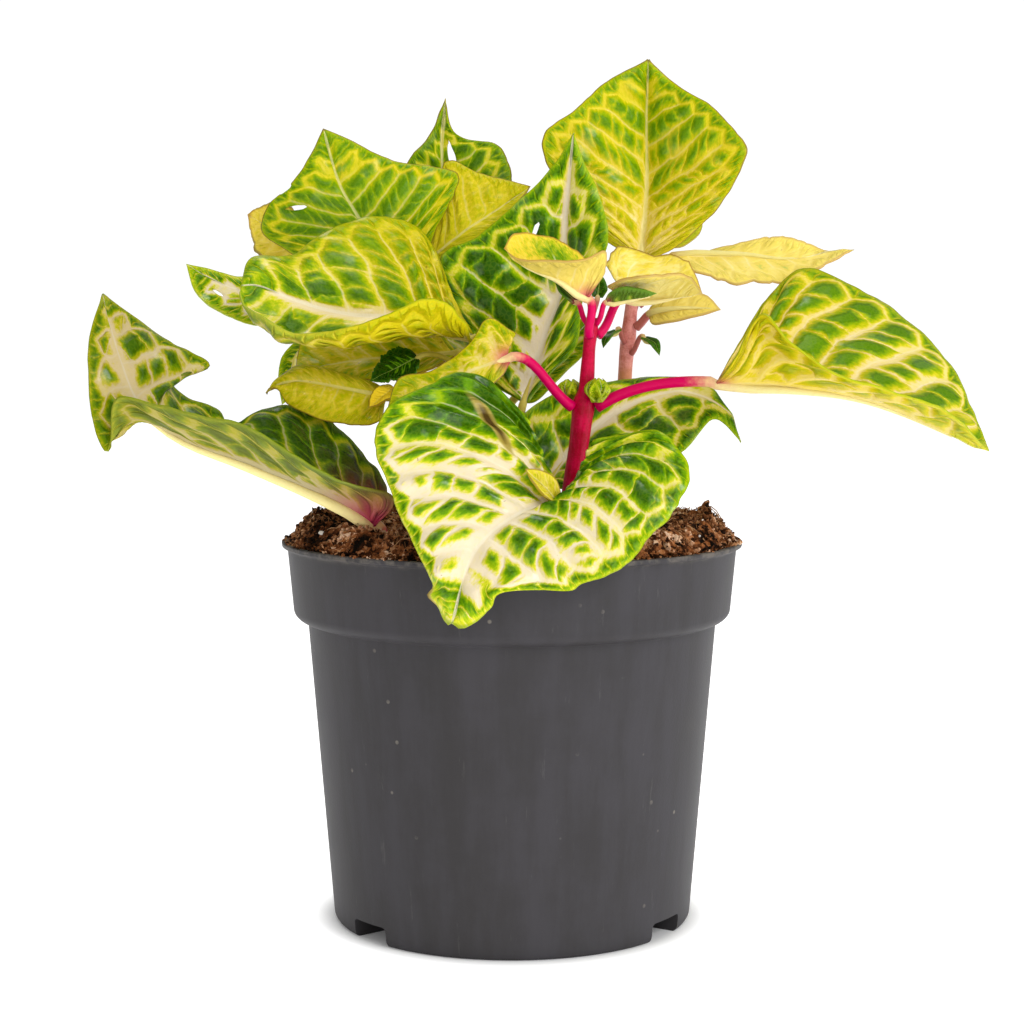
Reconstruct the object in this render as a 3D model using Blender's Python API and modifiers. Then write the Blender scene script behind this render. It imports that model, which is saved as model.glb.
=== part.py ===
"""A bloodleaf (Iresine) in a 12 cm grower's pot, built piece by piece: pot, potting mix, stems, leaves and buds.

Frame: +Z up, origin at the centre of the pot's underside, the plant's front faces -Y.
Blender works in metres here; every size below is in millimetres and is multiplied by MM where it is used.
Leaves are given by a few points on their midrib and margins, chosen by hand, and lofted between them.
"""

import math

import bmesh
import bpy
from mathutils import Matrix, Vector, noise

MM = 0.001

# Pot: a turned shell with a stepped rim band under a flat lip
LIP_RADIUS = 60.0
POT_HEIGHT = 99.3
LIP_THICKNESS = 1.3
BAND_RADIUS_TOP = 58.5
BAND_RADIUS_LOW = 56.9
BAND_LOW_EDGE = 81.6
BODY_RADIUS_TOP = 53.2
BODY_RADIUS_LOW = 46.9
STEP_HEIGHT = 78.8
WALL = 1.5
FLOOR = 1.8
POT_STEPS = 56

# Raised drain channels run in from the foot's edge, each with a round hole through its roof
CHANNEL_ANGLES = (-50.0, 56.5, 130.0, -123.5)
CHANNEL_WIDTH = 13.0
CHANNEL_HEIGHT = 5.0
CHANNEL_INNER = 20.0
DRAIN_RADIUS = 4.0
DRAIN_RING = 33.0

# Potting mix: a filled plug that heaps a little over the lip
GAP = 0.35
LEAVING_SLOPE = 0.6
HEAP_EDGE = (56.2, 101.0)
HEAP_CREST = (52.5, 103.6)
HEAP_MIDDLE = 102.2
HEAP_SIDES = 2.0
HEAP_ROUGHNESS = 1.2
HEAP_STEPS = 48

# Leaves
BLADE_THICKNESS = 0.7
ROOT_HALF_WIDTH = 1.3
BLADE_GRID = (6, 10)
SMALL_GRID = (4, 6)

COLOURS = {
    "pot": ((0.085, 0.085, 0.09), 0.6),
    "mix": ((0.07, 0.03, 0.015), 0.95),
    "stem_red": ((0.60, 0.01, 0.10), 0.4),
    "stem_old": ((0.42, 0.18, 0.14), 0.5),
    "leaf_mature": ((0.32, 0.45, 0.08), 0.45),
    "leaf_lime": ((0.46, 0.50, 0.05), 0.45),
    "leaf_pale": ((0.80, 0.66, 0.16), 0.5),
    "leaf_young": ((0.08, 0.20, 0.03), 0.5),
}

# Each stem is a list of (x, y, z, radius); it starts inside its hole in the potting mix
STEMS = {
    "stem_front": ("stem_red", [
        (12, -12, 86, 2.5), (14.5, -13, 108, 2.5), (16.8, -14, 123.4, 2.5), (17.7, -15, 131, 2.7),
        (18.2, -15, 135, 3.0), (18.8, -15, 139, 2.0), (19.5, -15, 149, 1.6), (20.0, -15, 154, 1.8), (20.3, -15, 157, 1.3)]),
    "stem_right": ("stem_old", [
        (29, 18, 86, 2.1), (29.6, 18, 112, 2.0), (30.3, 18, 141, 1.9), (31.2, 18, 152, 2.1), (32, 17, 161, 1.6),
        (32.3, 17, 164, 1.4)]),
    "stem_middle": ("stem_old", [
        (-5, 5, 86, 2.3), (-5, 2, 110, 2.2), (-5.5, -2, 132, 2.0), (-7, -5, 144, 1.8), (-7.5, -6, 148, 1.4)]),
    "stem_left": ("stem_old", [
        (-25, 15, 86, 2.2), (-25, 15.5, 120, 2.1), (-24.8, 16, 154, 2.0), (-26, 18, 166, 1.6), (-26.5, 18.5, 169, 1.3)]),
}


class Leaf:
    """A blade given by a midrib and, on each side, one margin or a fold line and a margin.

    All paths run from root to tip. left and right are as seen from the blade's upper face with the tip ahead.
    A lobed side's margin starts at the lobe's far point, and a straight edge joins that point to the root.
    on names the stem and the height at which the petiole leaves it. bulge lifts each half off the straight line
    between midrib and margin, towards the upper face. rib above 1 feeds a heart-shaped base from near the root.
    """

    def __init__(self, name, root, mid, tip, left, right, on=None, start=None, lobed=(False, False), petiole=1.1, bulge=0.0, rib=1.2,
                 dress="leaf_mature", grid=BLADE_GRID, tube=1):
        self.tube = tube
        self.name = name
        self.on = on
        self.start = start
        self.petiole = petiole
        self.bulge = bulge
        self.rib = rib
        self.dress = dress
        self.grid = grid
        self.midrib = Path([root, *mid, tip])
        ahead = self.midrib.heading(0.0)
        across = Vector(right[0][1 % len(right[0])]) - Vector(left[0][1 % len(left[0])])
        across = (across - ahead * across.dot(ahead)).normalized() * ROOT_HALF_WIDTH
        self.across = across * MM
        self.lobed = lobed
        self.left = [self.midrib]
        self.right = [self.midrib]
        for rails, sides, turn in ((self.left, left, -1), (self.right, right, 1)):
            for i, side in enumerate(sides):
                start = [] if lobed[turn > 0] else [Vector(root) + across * turn * (i + 1)]
                rails.append(Path([*start, *side, tip]))


class Path:
    """A smooth curve through points given in millimetres, read by its fraction of length."""

    STEPS = 8

    def __init__(self, points):
        spots = [Vector(p) * MM for p in points]
        spots = [spots[0] * 2 - spots[1]] + spots + [spots[-1] * 2 - spots[-2]]
        self.places = [spots[1]]
        for a, b, c, d in zip(spots, spots[1:], spots[2:], spots[3:]):
            for i in range(1, self.STEPS + 1):
                t = i / self.STEPS
                self.places.append(0.5 * (2 * b + (c - a) * t + (2 * a - 5 * b + 4 * c - d) * t * t
                                          + (3 * b - a - 3 * c + d) * t ** 3))
        self.marks = [0.0]
        for a, b in zip(self.places, self.places[1:]):
            self.marks.append(self.marks[-1] + (b - a).length)

    def at(self, fraction):
        target = min(max(fraction, 0.0), 1.0) * self.marks[-1]
        for i, (low, high) in enumerate(zip(self.marks, self.marks[1:])):
            if target <= high:
                return self.places[i].lerp(self.places[i + 1], (target - low) / (high - low))
        return self.places[-1].copy()

    def heading(self, fraction):
        return (self.at(fraction + 0.02) - self.at(fraction - 0.02)).normalized()


def plain_leaf(name, root, tip, width, up, sag=0.0, cup=0.0, **rest):
    """A simple pointed leaf: width is half the blade's width, sag drops its middle, cup lifts its margins."""
    a, b, up = Vector(root), Vector(tip), Vector(up).normalized()
    side = (b - a).normalized().cross(up).normalized()
    mid = [a.lerp(b, 0.5) - up * sag]
    margins = []
    for turn in (-1, 1):
        margins.append([a.lerp(b, t) + side * turn * width * w + up * (cup * w - sag * s)
                        for t, w, s in ((0.12, 0.7, 0.4), (0.4, 1.0, 1.0), (0.75, 0.6, 0.7))])
    return Leaf(name, root, mid, tip, [margins[0]], [margins[1]], **rest)


def make_leaves():
    red = ("stem_front", 135)
    return [
        # Lower tier
        Leaf("leaf_front", (12, -40, 112), [(1, -50, 110), (-9, -62, 102)], (-14, -67, 86),
             [[(20, -31, 127), (36, -36, 129), (43, -44, 118), (34, -53, 106), (22, -63, 97),
               (5, -67, 94), (-3, -68, 90)]],
             [[(3, -36, 134), (-8, -38, 143), (-21, -42, 141), (-33, -46, 131), (-28, -56, 114),
               (-19, -65, 96)]],
             on=("stem_front", 108), lobed=(True, True), petiole=1.3, bulge=2.0, rib=1.5),
        Leaf("leaf_left_long", (-34, -32, 106),
             [(-43, -37, 113), (-64, -40, 122), (-80, -40, 128), (-90, -40, 136), (-96, -36, 149)], (-101, -28, 163),
             [[(-29, -41, 113), (-42, -47, 119), (-65, -51, 132), (-86, -49, 136), (-95, -46, 137), (-97, -45, 125),
               (-101, -43, 131), (-103, -37, 150)]],
             [[(-31, -24, 113), (-35, -16, 120), (-44, -12, 129), (-58, -14, 135), (-71, -20, 133), (-84, -26, 141),
               (-76, -20, 145), (-90, -22, 154)]],
             start=(-31, -29, 92), petiole=1.9, rib=1.1),
        Leaf("leaf_right_back", (9, -5, 114), [(15, -1, 122), (28, 2, 133), (44, 1, 138), (56, -4, 133)],
             (59, -8, 125),
             [[(3, -3, 121), (2, 0, 130), (9, 4, 136), (23, 8, 140), (38, 9, 142), (52, 4, 139)]],
             [[(17, -10, 113), (33, -12, 117), (44, -10, 123), (52, -7, 131)]],
             on=("stem_middle", 106), bulge=1.0),
        # Middle tier
        Leaf("leaf_right", (51, -24, 141), [(72, -29, 140), (91, -31, 136)], (118, -30, 124),
             [[(59, -12, 153), (66, 0, 162), (76, 6, 170), (89, 6, 166), (105, 2, 155), (113, -6, 145),
               (117, -18, 132)]],
             [[(55, -34, 148), (60, -42, 158), (66, -46, 152), (77, -48, 144), (89, -46, 140), (105, -40, 135)]],
             on=red, petiole=1.4, rib=1.3),
        Leaf("leaf_left_wide", (-10, -12, 152), [(-28, -14, 157), (-41, -16, 158), (-53, -18, 161), (-63, -19, 165)],
             (-68, -19, 165),
             [[(-14, -17, 152), (-25, -24, 152), (-40, -27, 149), (-56, -26, 151), (-63, -23, 156), (-66, -21, 161)],
              [(-12, -22, 156), (-20, -30, 162), (-35, -33, 156), (-52, -31, 153), (-61, -29, 157), (-66, -25, 160)]],
             [[(-15, -4, 162), (-20, 4, 175), (-27, 6, 182), (-38, 2, 183), (-50, -4, 178), (-56, -8, 173),
               (-66, -13, 172)]],
             on=("stem_middle", 145), bulge=1.5, rib=1.3),
        Leaf("leaf_centre_flap", (-1, -24, 147), [(-10, -27, 144), (-20, -29, 139)], (-31, -30, 134),
             [[(-3, -27, 142), (-10, -30, 137), (-21, -31, 135)]],
             [[(1, -20, 153), (-6, -18, 157), (-11, -21, 150), (-20, -26, 144), (-28, -29, 142)]],
             on=red, lobed=(False, True), petiole=1.25, dress="leaf_lime"),
        Leaf("leaf_centre_back", (3, 3, 135), [(9, 5, 154), (13, 7, 164), (14, 8, 183)], (16, 6, 205),
             [[(-6, 4, 141), (-13, 6, 155), (-19, 9, 172), (-8, 9, 179), (2, 8, 188), (11, 7, 197)]],
             [[(10, 3, 142), (17, 3, 150), (19, 3, 164), (25, 3, 176), (23, 3, 188), (19, 5, 197)]],
             on=("stem_middle", 118), bulge=1.5, rib=1.3),
        Leaf("leaf_folded", (1, 10, 136), [(10, 12, 145)], (21, 13, 157),
             [[(0, 10, 139), (7, 14, 150), (15, 14, 156)]], [[(6, 8, 135), (13, 8, 142), (21, 10, 150)]],
             on=("stem_middle", 124), grid=SMALL_GRID),
        Leaf("leaf_left_low", (-32, -12, 137), [(-42, -14, 139), (-52, -17, 141), (-58, -18.5, 140.5)], (-62, -19, 138),
             [[(-35, -16, 130), (-47, -19, 131), (-56, -20, 135), (-59, -20, 139)]],
             [[(-35, -10, 140), (-43, -10, 143), (-53, -13, 145), (-59, -17, 142)]],
             on=("stem_left", 128), bulge=1.5, dress="leaf_lime"),
        Leaf("leaf_left_inner", (-15, -3, 148), [(-29, -2, 147), (-42, -3, 146)], (-56, -5, 143),
             [[(-21, -7, 144), (-33, -8, 141), (-47, -8, 142)]], [[(-22, 4, 156), (-40, 6, 158), (-54, 3, 152)]],
             on=("stem_middle", 134), dress="leaf_lime"),
        Leaf("leaf_left_sliver", (-51, 10, 150), [(-57, 11, 148), (-59, 11, 142)], (-61, 10, 134),
             [[(-53, 8, 145), (-56, 8, 139)]], [[(-57, 12, 151), (-61, 12, 147), (-62, 11, 141)]],
             on=("stem_left", 144), petiole=0.8, grid=SMALL_GRID),
        # Upper tier, left
        Leaf("leaf_upper_left", (-30, 10, 166), [(-41, 14, 184), (-46, 16, 193)], (-50, 16, 207),
             [[(-44, 12, 166), (-60, 15, 175), (-67, 18, 180), (-65, 18, 187), (-60, 16, 191), (-55, 15, 197)]],
             [[(-22, 14, 170), (-21, 14, 178), (-14, 16, 193), (-19, 18, 197), (-32, 18, 199), (-45, 17, 205)]],
             on=("stem_left", 158), bulge=1.5, rib=1.3, dress="leaf_lime"),
        Leaf("leaf_left_tip", (-58, 8, 162), [(-70, 7, 164), (-78, 5, 167)], (-85, 4, 171),
             [[(-65, 4, 155), (-75, 2, 158), (-82, 2, 163)]], [[(-64, 10, 168), (-73, 9, 168), (-80, 6, 170)]],
             on=("stem_left", 150), grid=SMALL_GRID),
        Leaf("leaf_far_left", (-49, 26, 172), [(-58, 28, 177)], (-72, 30, 185),
             [[(-55, 26, 169), (-68, 29, 173), (-71, 30, 179)]], [[(-54, 29, 181), (-62, 31, 188), (-69, 31, 187)]],
             on=("stem_left", 162), dress="leaf_pale", grid=SMALL_GRID),
        Leaf("leaf_back_centre", (-20, 28, 178), [(-19, 31, 189), (-19, 32, 203)], (-18, 28, 216),
             [[(-26, 28, 182), (-30, 30, 192), (-28, 31, 200), (-23, 31, 206)]],
             [[(-11, 28, 179), (-2, 28, 186), (0, 28, 194), (-3, 30, 203), (-11, 31, 205), (-16, 30, 208)]],
             on=("stem_left", 168), bulge=1.0, dress="leaf_lime"),
        Leaf("leaf_back_folded", (-23, 16, 172), [(-11, 14, 181)], (5, 20, 192),
             [[(-20, 20, 184), (-18, 25, 199), (-9, 24, 196), (2, 21, 193)]],
             [[(-19, 12, 172), (-11, 12, 177), (-2, 14, 183)]],
             on=("stem_left", 165), dress="leaf_pale"),
        # Upper tier, right
        Leaf("leaf_top", (34, 14, 172), [(36, 20, 191), (36, 22, 210)], (36, 16, 225),
             [[(23, 14, 179), (12, 15, 193), (8, 15, 204), (17, 16, 212), (26, 18, 220)]],
             [[(44, 12, 176), (55, 10, 187), (61, 8, 199), (59, 8, 205), (53, 12, 212), (44, 16, 218)]],
             start=(32.5, 16.8, 165.3), petiole=1.3, bulge=1.5, dress="leaf_lime"),
        Leaf("leaf_yellow_left", (19, -19, 162), [(12, -21, 167), (4, -23, 170)], (-2, -25, 174),
             [[(23, -22, 168), (23, -26, 173), (16, -30, 171), (7, -29, 171), (1, -27, 172)]],
             [[(19, -12, 169), (17, -10, 173), (10, -13, 177), (1, -20, 178)]],
             on=("stem_front", 153), dress="leaf_pale"),
        Leaf("leaf_yellow_right", (29, -11, 162), [(36, -12, 162), (43, -14, 163)], (48, -16, 163),
             [[(24, -4, 171), (28, 2, 176), (36, 2, 174), (44, 0, 172), (47, -6, 168)]],
             [[(24, -18, 165), (29, -24, 167), (35, -26, 168), (44, -22, 168)]],
             on=("stem_front", 153), lobed=(True, True), dress="leaf_pale"),
        Leaf("leaf_far_right", (43, 18, 173), [(61, 16, 173), (74, 15, 172)], (91, 15, 175),
             [[(44, 12, 169), (60, 6, 166), (73, 6, 167), (84, 10, 171)]],
             [[(50, 20, 174), (68, 18, 178), (77, 17, 177), (85, 16, 174)]],
             on=("stem_right", 161), dress="leaf_pale"),
        Leaf("leaf_right_low", (37, 14, 158), [(44, 10, 159)], (55, 8, 159),
             [[(38, 10, 155), (48, 6, 157)]], [[(38, 13, 161), (43, 12, 164), (51, 10, 163)]],
             on=("stem_right", 155), dress="leaf_pale", grid=SMALL_GRID),
        # Young leaves at the growing points
        plain_leaf("leaf_young_hook_left", (28, 13, 154), (24, 8, 149), 1.6, (-1, -1, 1), sag=-1.5,
                   on=("stem_right", 151), petiole=0.7, dress="leaf_young", grid=SMALL_GRID, tube=0),
        plain_leaf("leaf_young_hook_right", (35, 12, 152), (39, 9, 147), 1.8, (1, -1, 1), sag=-1.5,
                   on=("stem_right", 148), petiole=0.7, dress="leaf_young", grid=SMALL_GRID, tube=0),
        plain_leaf("leaf_young_top_right", (24, -18.5, 161), (36, -24, 163), 3.0, (0, 0.4, 1), cup=2.0,
                   on=("stem_front", 156), petiole=0.7, dress="leaf_young", grid=SMALL_GRID, tube=0),
        plain_leaf("leaf_young_top", (21.6, -14.8, 162), (22.4, -14, 168), 2.2, (0, -1, 0.2), cup=0.4,
                   start=(20.4, -15, 157.8), petiole=0.7, dress="leaf_young", grid=SMALL_GRID, tube=0),
        plain_leaf("leaf_young_top_left", (16.5, -11.5, 161), (11, -10, 166), 2.4, (0, -0.6, 1), cup=1.0,
                   on=("stem_front", 156), petiole=0.7, dress="leaf_young", grid=SMALL_GRID, tube=0),
        plain_leaf("leaf_young_inner", (-24, -12, 147), (-36, -15, 141), 5.0, (0, -0.8, 0.6), cup=1.0,
                   on=("stem_middle", 141), petiole=0.7, dress="leaf_young", grid=SMALL_GRID, tube=0),
        # Leaves on the far side, which the front ones hide
        plain_leaf("leaf_back_right", (36, 30, 176), (42, 62, 204), 15, (0, 1, -0.6), sag=-2, cup=3,
                   on=("stem_right", 160), dress="leaf_lime"),
        plain_leaf("leaf_back_middle", (-12, 14, 140), (0, 60, 180), 17, (0, 1, -0.6), sag=-2, cup=3,
                   on=("stem_middle", 112), dress="leaf_mature"),
        plain_leaf("leaf_back_left", (-36, 28, 158), (-54, 62, 176), 15, (-0.3, 1, -0.6), sag=-2, cup=3,
                   on=("stem_left", 154), dress="leaf_mature"),
    ]


def stem_at(name, height):
    """The stem's axis point and radius, both in millimetres, at a height."""
    spots = STEMS[name][1]
    for low, high in zip(spots, spots[1:]):
        if low[2] <= height <= high[2]:
            mix = Vector(low).lerp(Vector(high), (height - low[2]) / (high[2] - low[2]))
            return Vector(mix[:3]), mix[3]
    return Vector(spots[-1][:3]), spots[-1][3]


def petiole_start(leaf):
    """Where the petiole begins, just clear of the stem's side or end, and the direction in which it sets off."""
    root = leaf.midrib.at(0.0)
    if leaf.start:
        start = Vector(leaf.start) * MM
        return start, (root - start).normalized()
    axis, radius = stem_at(*leaf.on)
    out = root - axis * MM
    rise = LEAVING_SLOPE if out.z > 0 else -LEAVING_SLOPE
    out.z = 0.0
    out.normalize()
    return (axis + out * (radius + GAP + leaf.petiole * LEAVING_SLOPE)) * MM, (out + Vector((0, 0, rise))).normalized()


def blade_point(leaf, across, along):
    """Place on the blade: across runs -1 to 1 from margin to margin, along 0 to 1 from root to tip."""
    rails = leaf.right if across >= 0 else leaf.left
    reach = abs(across)
    spots = [rails[0].at(along ** leaf.rib)] + [rail.at(along) for rail in rails[1:]]
    if len(spots) == 2:
        place = spots[0].lerp(spots[1], reach)
    else:
        place = (spots[0] * (1 - reach) * (1 - 2 * reach) + spots[1] * 4 * reach * (1 - reach)
                 + spots[2] * reach * (2 * reach - 1))
    turn = 1 if across >= 0 else -1
    if leaf.lobed[turn > 0]:
        place = place + leaf.across * turn * (1 - reach) * min(reach * 3, 1) * max(0, 1 - along * 4)
    out = (spots[1] - spots[0]) * turn
    up = out.cross(leaf.midrib.heading(along)).normalized()
    swell = math.sin(math.pi * along) ** 0.5 if 0 < along < 1 else 0.0
    return place + up * leaf.bulge * MM * 4 * reach * (1 - reach) * swell


def blade_mesh(leaf):
    """A grid bent onto the leaf's paths, drawn to a point at root and tip and split into triangles."""
    columns, rows = leaf.grid
    bm = bmesh.new()
    bmesh.ops.create_grid(bm, x_segments=columns, y_segments=rows, size=1.0)
    tip = [v for v in bm.verts if v.co.y > 0.999]
    for v in bm.verts:
        v.co = blade_point(leaf, v.co.x, (v.co.y + 1.0) / 2.0)
    bmesh.ops.pointmerge(bm, verts=tip, merge_co=leaf.midrib.at(1.0))
    bmesh.ops.triangulate(bm, faces=bm.faces, quad_method="BEAUTY")
    mesh = bpy.data.meshes.new(leaf.name)
    bm.to_mesh(mesh)
    bm.free()
    return mesh


def tube_mesh(name, spots, radii, resolution):
    """A closed tube through spots, made from a bevelled curve and turned into a welded mesh."""
    curve = bpy.data.curves.new(name, "CURVE")
    curve.dimensions = "3D"
    curve.bevel_depth = 1.0
    curve.bevel_resolution = resolution
    curve.use_fill_caps = True
    spline = curve.splines.new("POLY")
    spline.points.add(len(spots) - 1)
    for p, spot, radius in zip(spline.points, spots, radii):
        p.co = (*spot, 1.0)
        p.radius = radius * MM
    obj = bpy.data.objects.new(name, curve)
    bpy.context.scene.collection.objects.link(obj)
    bpy.context.view_layer.update()
    mesh = bpy.data.meshes.new_from_object(obj.evaluated_get(bpy.context.evaluated_depsgraph_get()))
    bpy.data.objects.remove(obj)
    bm = bmesh.new()
    bm.from_mesh(mesh)
    bmesh.ops.remove_doubles(bm, verts=bm.verts, dist=0.00001)
    bmesh.ops.recalc_face_normals(bm, faces=bm.faces)
    bm.to_mesh(mesh)
    bm.free()
    return mesh


def add_object(name, mesh, dress):
    obj = bpy.data.objects.new(name, mesh)
    plant.objects.link(obj)
    obj.data.materials.clear()
    obj.data.materials.append(materials[dress])
    return obj


def apply_modifiers(obj):
    bpy.context.view_layer.update()
    graph = bpy.context.evaluated_depsgraph_get()
    mesh = bpy.data.meshes.new_from_object(obj.evaluated_get(graph))
    obj.modifiers.clear()
    obj.data = mesh


def combine(obj, meshes, operation):
    """Joins solids to an object, or cuts them from it, with one exact Boolean, and removes them."""
    tools = bpy.data.collections.new(obj.name + "_tools")
    bpy.context.scene.collection.children.link(tools)
    for i, mesh in enumerate(meshes):
        tools.objects.link(bpy.data.objects.new(f"{obj.name}_tool_{i}", mesh))
    boolean = obj.modifiers.new("combine", "BOOLEAN")
    boolean.operation = operation
    boolean.operand_type = "COLLECTION"
    boolean.collection = tools
    boolean.solver = "EXACT"
    dress = obj.data.materials[0]
    apply_modifiers(obj)
    obj.data.materials.clear()
    obj.data.materials.append(dress)
    for tool in list(tools.objects):
        bpy.data.objects.remove(tool)
    bpy.data.collections.remove(tools)


def stalk(leaf):
    """Points and radii of the petiole and of the midrib's ridge under the blade, which thins towards the tip."""
    start, away = petiole_start(leaf)
    root, ahead = leaf.midrib.at(0.0), leaf.midrib.heading(0.0)
    span = (root - start).length
    bends = start, start + away * span * 0.35, root - ahead * span * 0.35, root
    spots = [bends[0] * (1 - t) ** 3 + bends[1] * 3 * t * (1 - t) ** 2 + bends[2] * 3 * t * t * (1 - t) + bends[3] * t ** 3
             for t in (0.0, 0.2, 0.4, 0.6, 0.8)]
    radii = [leaf.petiole] * len(spots)
    for t in (0.0, 0.1, 0.22, 0.4, 0.6):
        radius = leaf.petiole * (1.0 - t) * 0.85
        out = leaf.right[1].at(max(t, 0.1)) - leaf.left[1].at(max(t, 0.1))
        up = out.cross(leaf.midrib.heading(t)).normalized()
        spots.append(leaf.midrib.at(t) - up * radius * 0.5 * MM)
        radii.append(radius)
    return spots, radii


def make_leaf(leaf):
    blade = add_object(leaf.name, blade_mesh(leaf), leaf.dress)
    thick = blade.modifiers.new("thickness", "SOLIDIFY")
    thick.thickness = BLADE_THICKNESS * MM
    thick.offset = 0.0
    apply_modifiers(blade)
    combine(blade, [tube_mesh(leaf.name, *stalk(leaf), leaf.tube)], "UNION")


def make_stems():
    for name, (dress, spots) in STEMS.items():
        path = [Vector(s[:3]) * MM for s in spots]
        add_object(name, tube_mesh(name, path, [s[3] for s in spots], 2), dress)


def turned(name, profile, steps, dress):
    """A body turned about Z from a profile of (radius, height) that starts and ends on the axis."""
    bm = bmesh.new()
    verts = [bm.verts.new((r * MM, 0, z * MM)) for r, z in profile]
    for a, b in zip(verts, verts[1:]):
        bm.edges.new((a, b))
    mesh = bpy.data.meshes.new(name)
    bm.to_mesh(mesh)
    bm.free()
    obj = add_object(name, mesh, dress)
    screw = obj.modifiers.new("turn", "SCREW")
    screw.steps = steps
    screw.render_steps = steps
    screw.use_merge_vertices = True
    screw.merge_threshold = 0.00001
    apply_modifiers(obj)
    return obj


def radial_box(angle, inner, outer, width, low, high):
    """A box that lies along a radius; the angle is measured from the front, positive towards +X."""
    bm = bmesh.new()
    bmesh.ops.create_cube(bm, size=1.0)
    size = Vector((width, outer - inner, high - low)) * MM
    centre = Vector((0, -(inner + outer) / 2, (low + high) / 2)) * MM
    bmesh.ops.transform(bm, verts=bm.verts, matrix=Matrix.Rotation(math.radians(angle), 4, "Z")
                        @ Matrix.Translation(centre) @ Matrix.Diagonal((*size, 1.0)))
    mesh = bpy.data.meshes.new("box")
    bm.to_mesh(mesh)
    bm.free()
    return mesh


def drain_pin(angle):
    bm = bmesh.new()
    bmesh.ops.create_cone(bm, cap_ends=True, segments=20, radius1=DRAIN_RADIUS * MM, radius2=DRAIN_RADIUS * MM,
                          depth=20 * MM)
    bmesh.ops.transform(bm, verts=bm.verts, matrix=Matrix.Rotation(math.radians(angle), 4, "Z")
                        @ Matrix.Translation((0, -DRAIN_RING * MM, 5 * MM)))
    mesh = bpy.data.meshes.new("pin")
    bm.to_mesh(mesh)
    bm.free()
    return mesh


def wall_at(height):
    """Inner radius of the pot's body at a height."""
    share = height / STEP_HEIGHT
    return BODY_RADIUS_LOW + (BODY_RADIUS_TOP - BODY_RADIUS_LOW) * share - WALL


def make_pot():
    shelf = BAND_LOW_EDGE - 0.8
    profile = [
        (0, FLOOR), (wall_at(4) - 1.2, FLOOR), (wall_at(4), 3.2), (wall_at(STEP_HEIGHT), STEP_HEIGHT),
        (BAND_RADIUS_LOW - WALL, shelf + 1.6), (BAND_RADIUS_TOP - WALL, POT_HEIGHT - LIP_THICKNESS - 0.7),
        (LIP_RADIUS - 1.6, POT_HEIGHT), (LIP_RADIUS - 0.25, POT_HEIGHT), (LIP_RADIUS, POT_HEIGHT - 0.3),
        (LIP_RADIUS - 0.15, POT_HEIGHT - LIP_THICKNESS), (BAND_RADIUS_TOP, POT_HEIGHT - LIP_THICKNESS - 0.4),
        (BAND_RADIUS_LOW, BAND_LOW_EDGE), (BAND_RADIUS_LOW - 0.7, BAND_LOW_EDGE - 1.4),
        (BAND_RADIUS_LOW - 2.0, STEP_HEIGHT + 0.5), (BODY_RADIUS_TOP + 0.3, STEP_HEIGHT),
        (BODY_RADIUS_TOP, STEP_HEIGHT - 1.0), (BODY_RADIUS_LOW + 0.1, 1.2), (BODY_RADIUS_LOW - 0.4, 0), (0, 0)]
    pot = turned("pot", profile, POT_STEPS, "pot")
    roofs = [radial_box(a, CHANNEL_INNER - 1.6, wall_at(0) + 0.4, CHANNEL_WIDTH + 3.2, 0.6, CHANNEL_HEIGHT + 1.6)
             for a in CHANNEL_ANGLES]
    combine(pot, roofs, "UNION")
    channels = [radial_box(a, CHANNEL_INNER, LIP_RADIUS, CHANNEL_WIDTH, -3, CHANNEL_HEIGHT) for a in CHANNEL_ANGLES]
    combine(pot, channels + [drain_pin(a) for a in CHANNEL_ANGLES], "DIFFERENCE")


def make_mix():
    profile = [(0, HEAP_MIDDLE), (10, HEAP_MIDDLE), (20, HEAP_MIDDLE), (29, HEAP_MIDDLE), (37, HEAP_MIDDLE + 0.3),
               (44, HEAP_MIDDLE + 0.8), HEAP_CREST, HEAP_EDGE, (BAND_RADIUS_TOP - WALL - 0.7, POT_HEIGHT - 3.0),
               (BAND_RADIUS_LOW - WALL - GAP - 0.1, BAND_LOW_EDGE + 1.2), (wall_at(STEP_HEIGHT) - GAP, STEP_HEIGHT + 0.7),
               (wall_at(4) - GAP - 0.1, 3.6), (wall_at(4) - 1.6, FLOOR + GAP), (0, FLOOR + GAP)]
    mix = turned("potting_mix", profile, HEAP_STEPS, "mix")
    for v in mix.data.vertices:
        if v.co.z > 0.0995:
            v.co.z += HEAP_SIDES * MM * (v.co.x / LIP_RADIUS / MM) ** 2
            v.co.z += HEAP_ROUGHNESS * MM * noise.noise(v.co * 130 + Vector((3, 1, 7)))
            v.co.z += HEAP_ROUGHNESS * MM * 0.6 * noise.noise(v.co * 330)
    solids = [radial_box(a, CHANNEL_INNER - 1.6 - GAP, 70, CHANNEL_WIDTH + 3.2 + 2 * GAP, -3, CHANNEL_HEIGHT + 1.6 + GAP)
              for a in CHANNEL_ANGLES]
    for name, (_, spots) in STEMS.items():
        low, high, radius = Vector(spots[0][:3]), Vector(spots[1][:3]), spots[0][3] + GAP
        ahead = (high - low).normalized()
        solids.append(tube_mesh(name, [(low - ahead * 0.4) * MM, (low + ahead * 30) * MM], [radius] * 2, 2))
    for leaf in leaves:
        if leaf.start and leaf.start[2] < POT_HEIGHT:
            spots, radii = stalk(leaf)
            spots[0] += (spots[0] - spots[1]).normalized() * GAP * MM
            solids.append(tube_mesh(leaf.name, spots, [r + GAP for r in radii], 2))
    combine(mix, solids, "DIFFERENCE")


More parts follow.
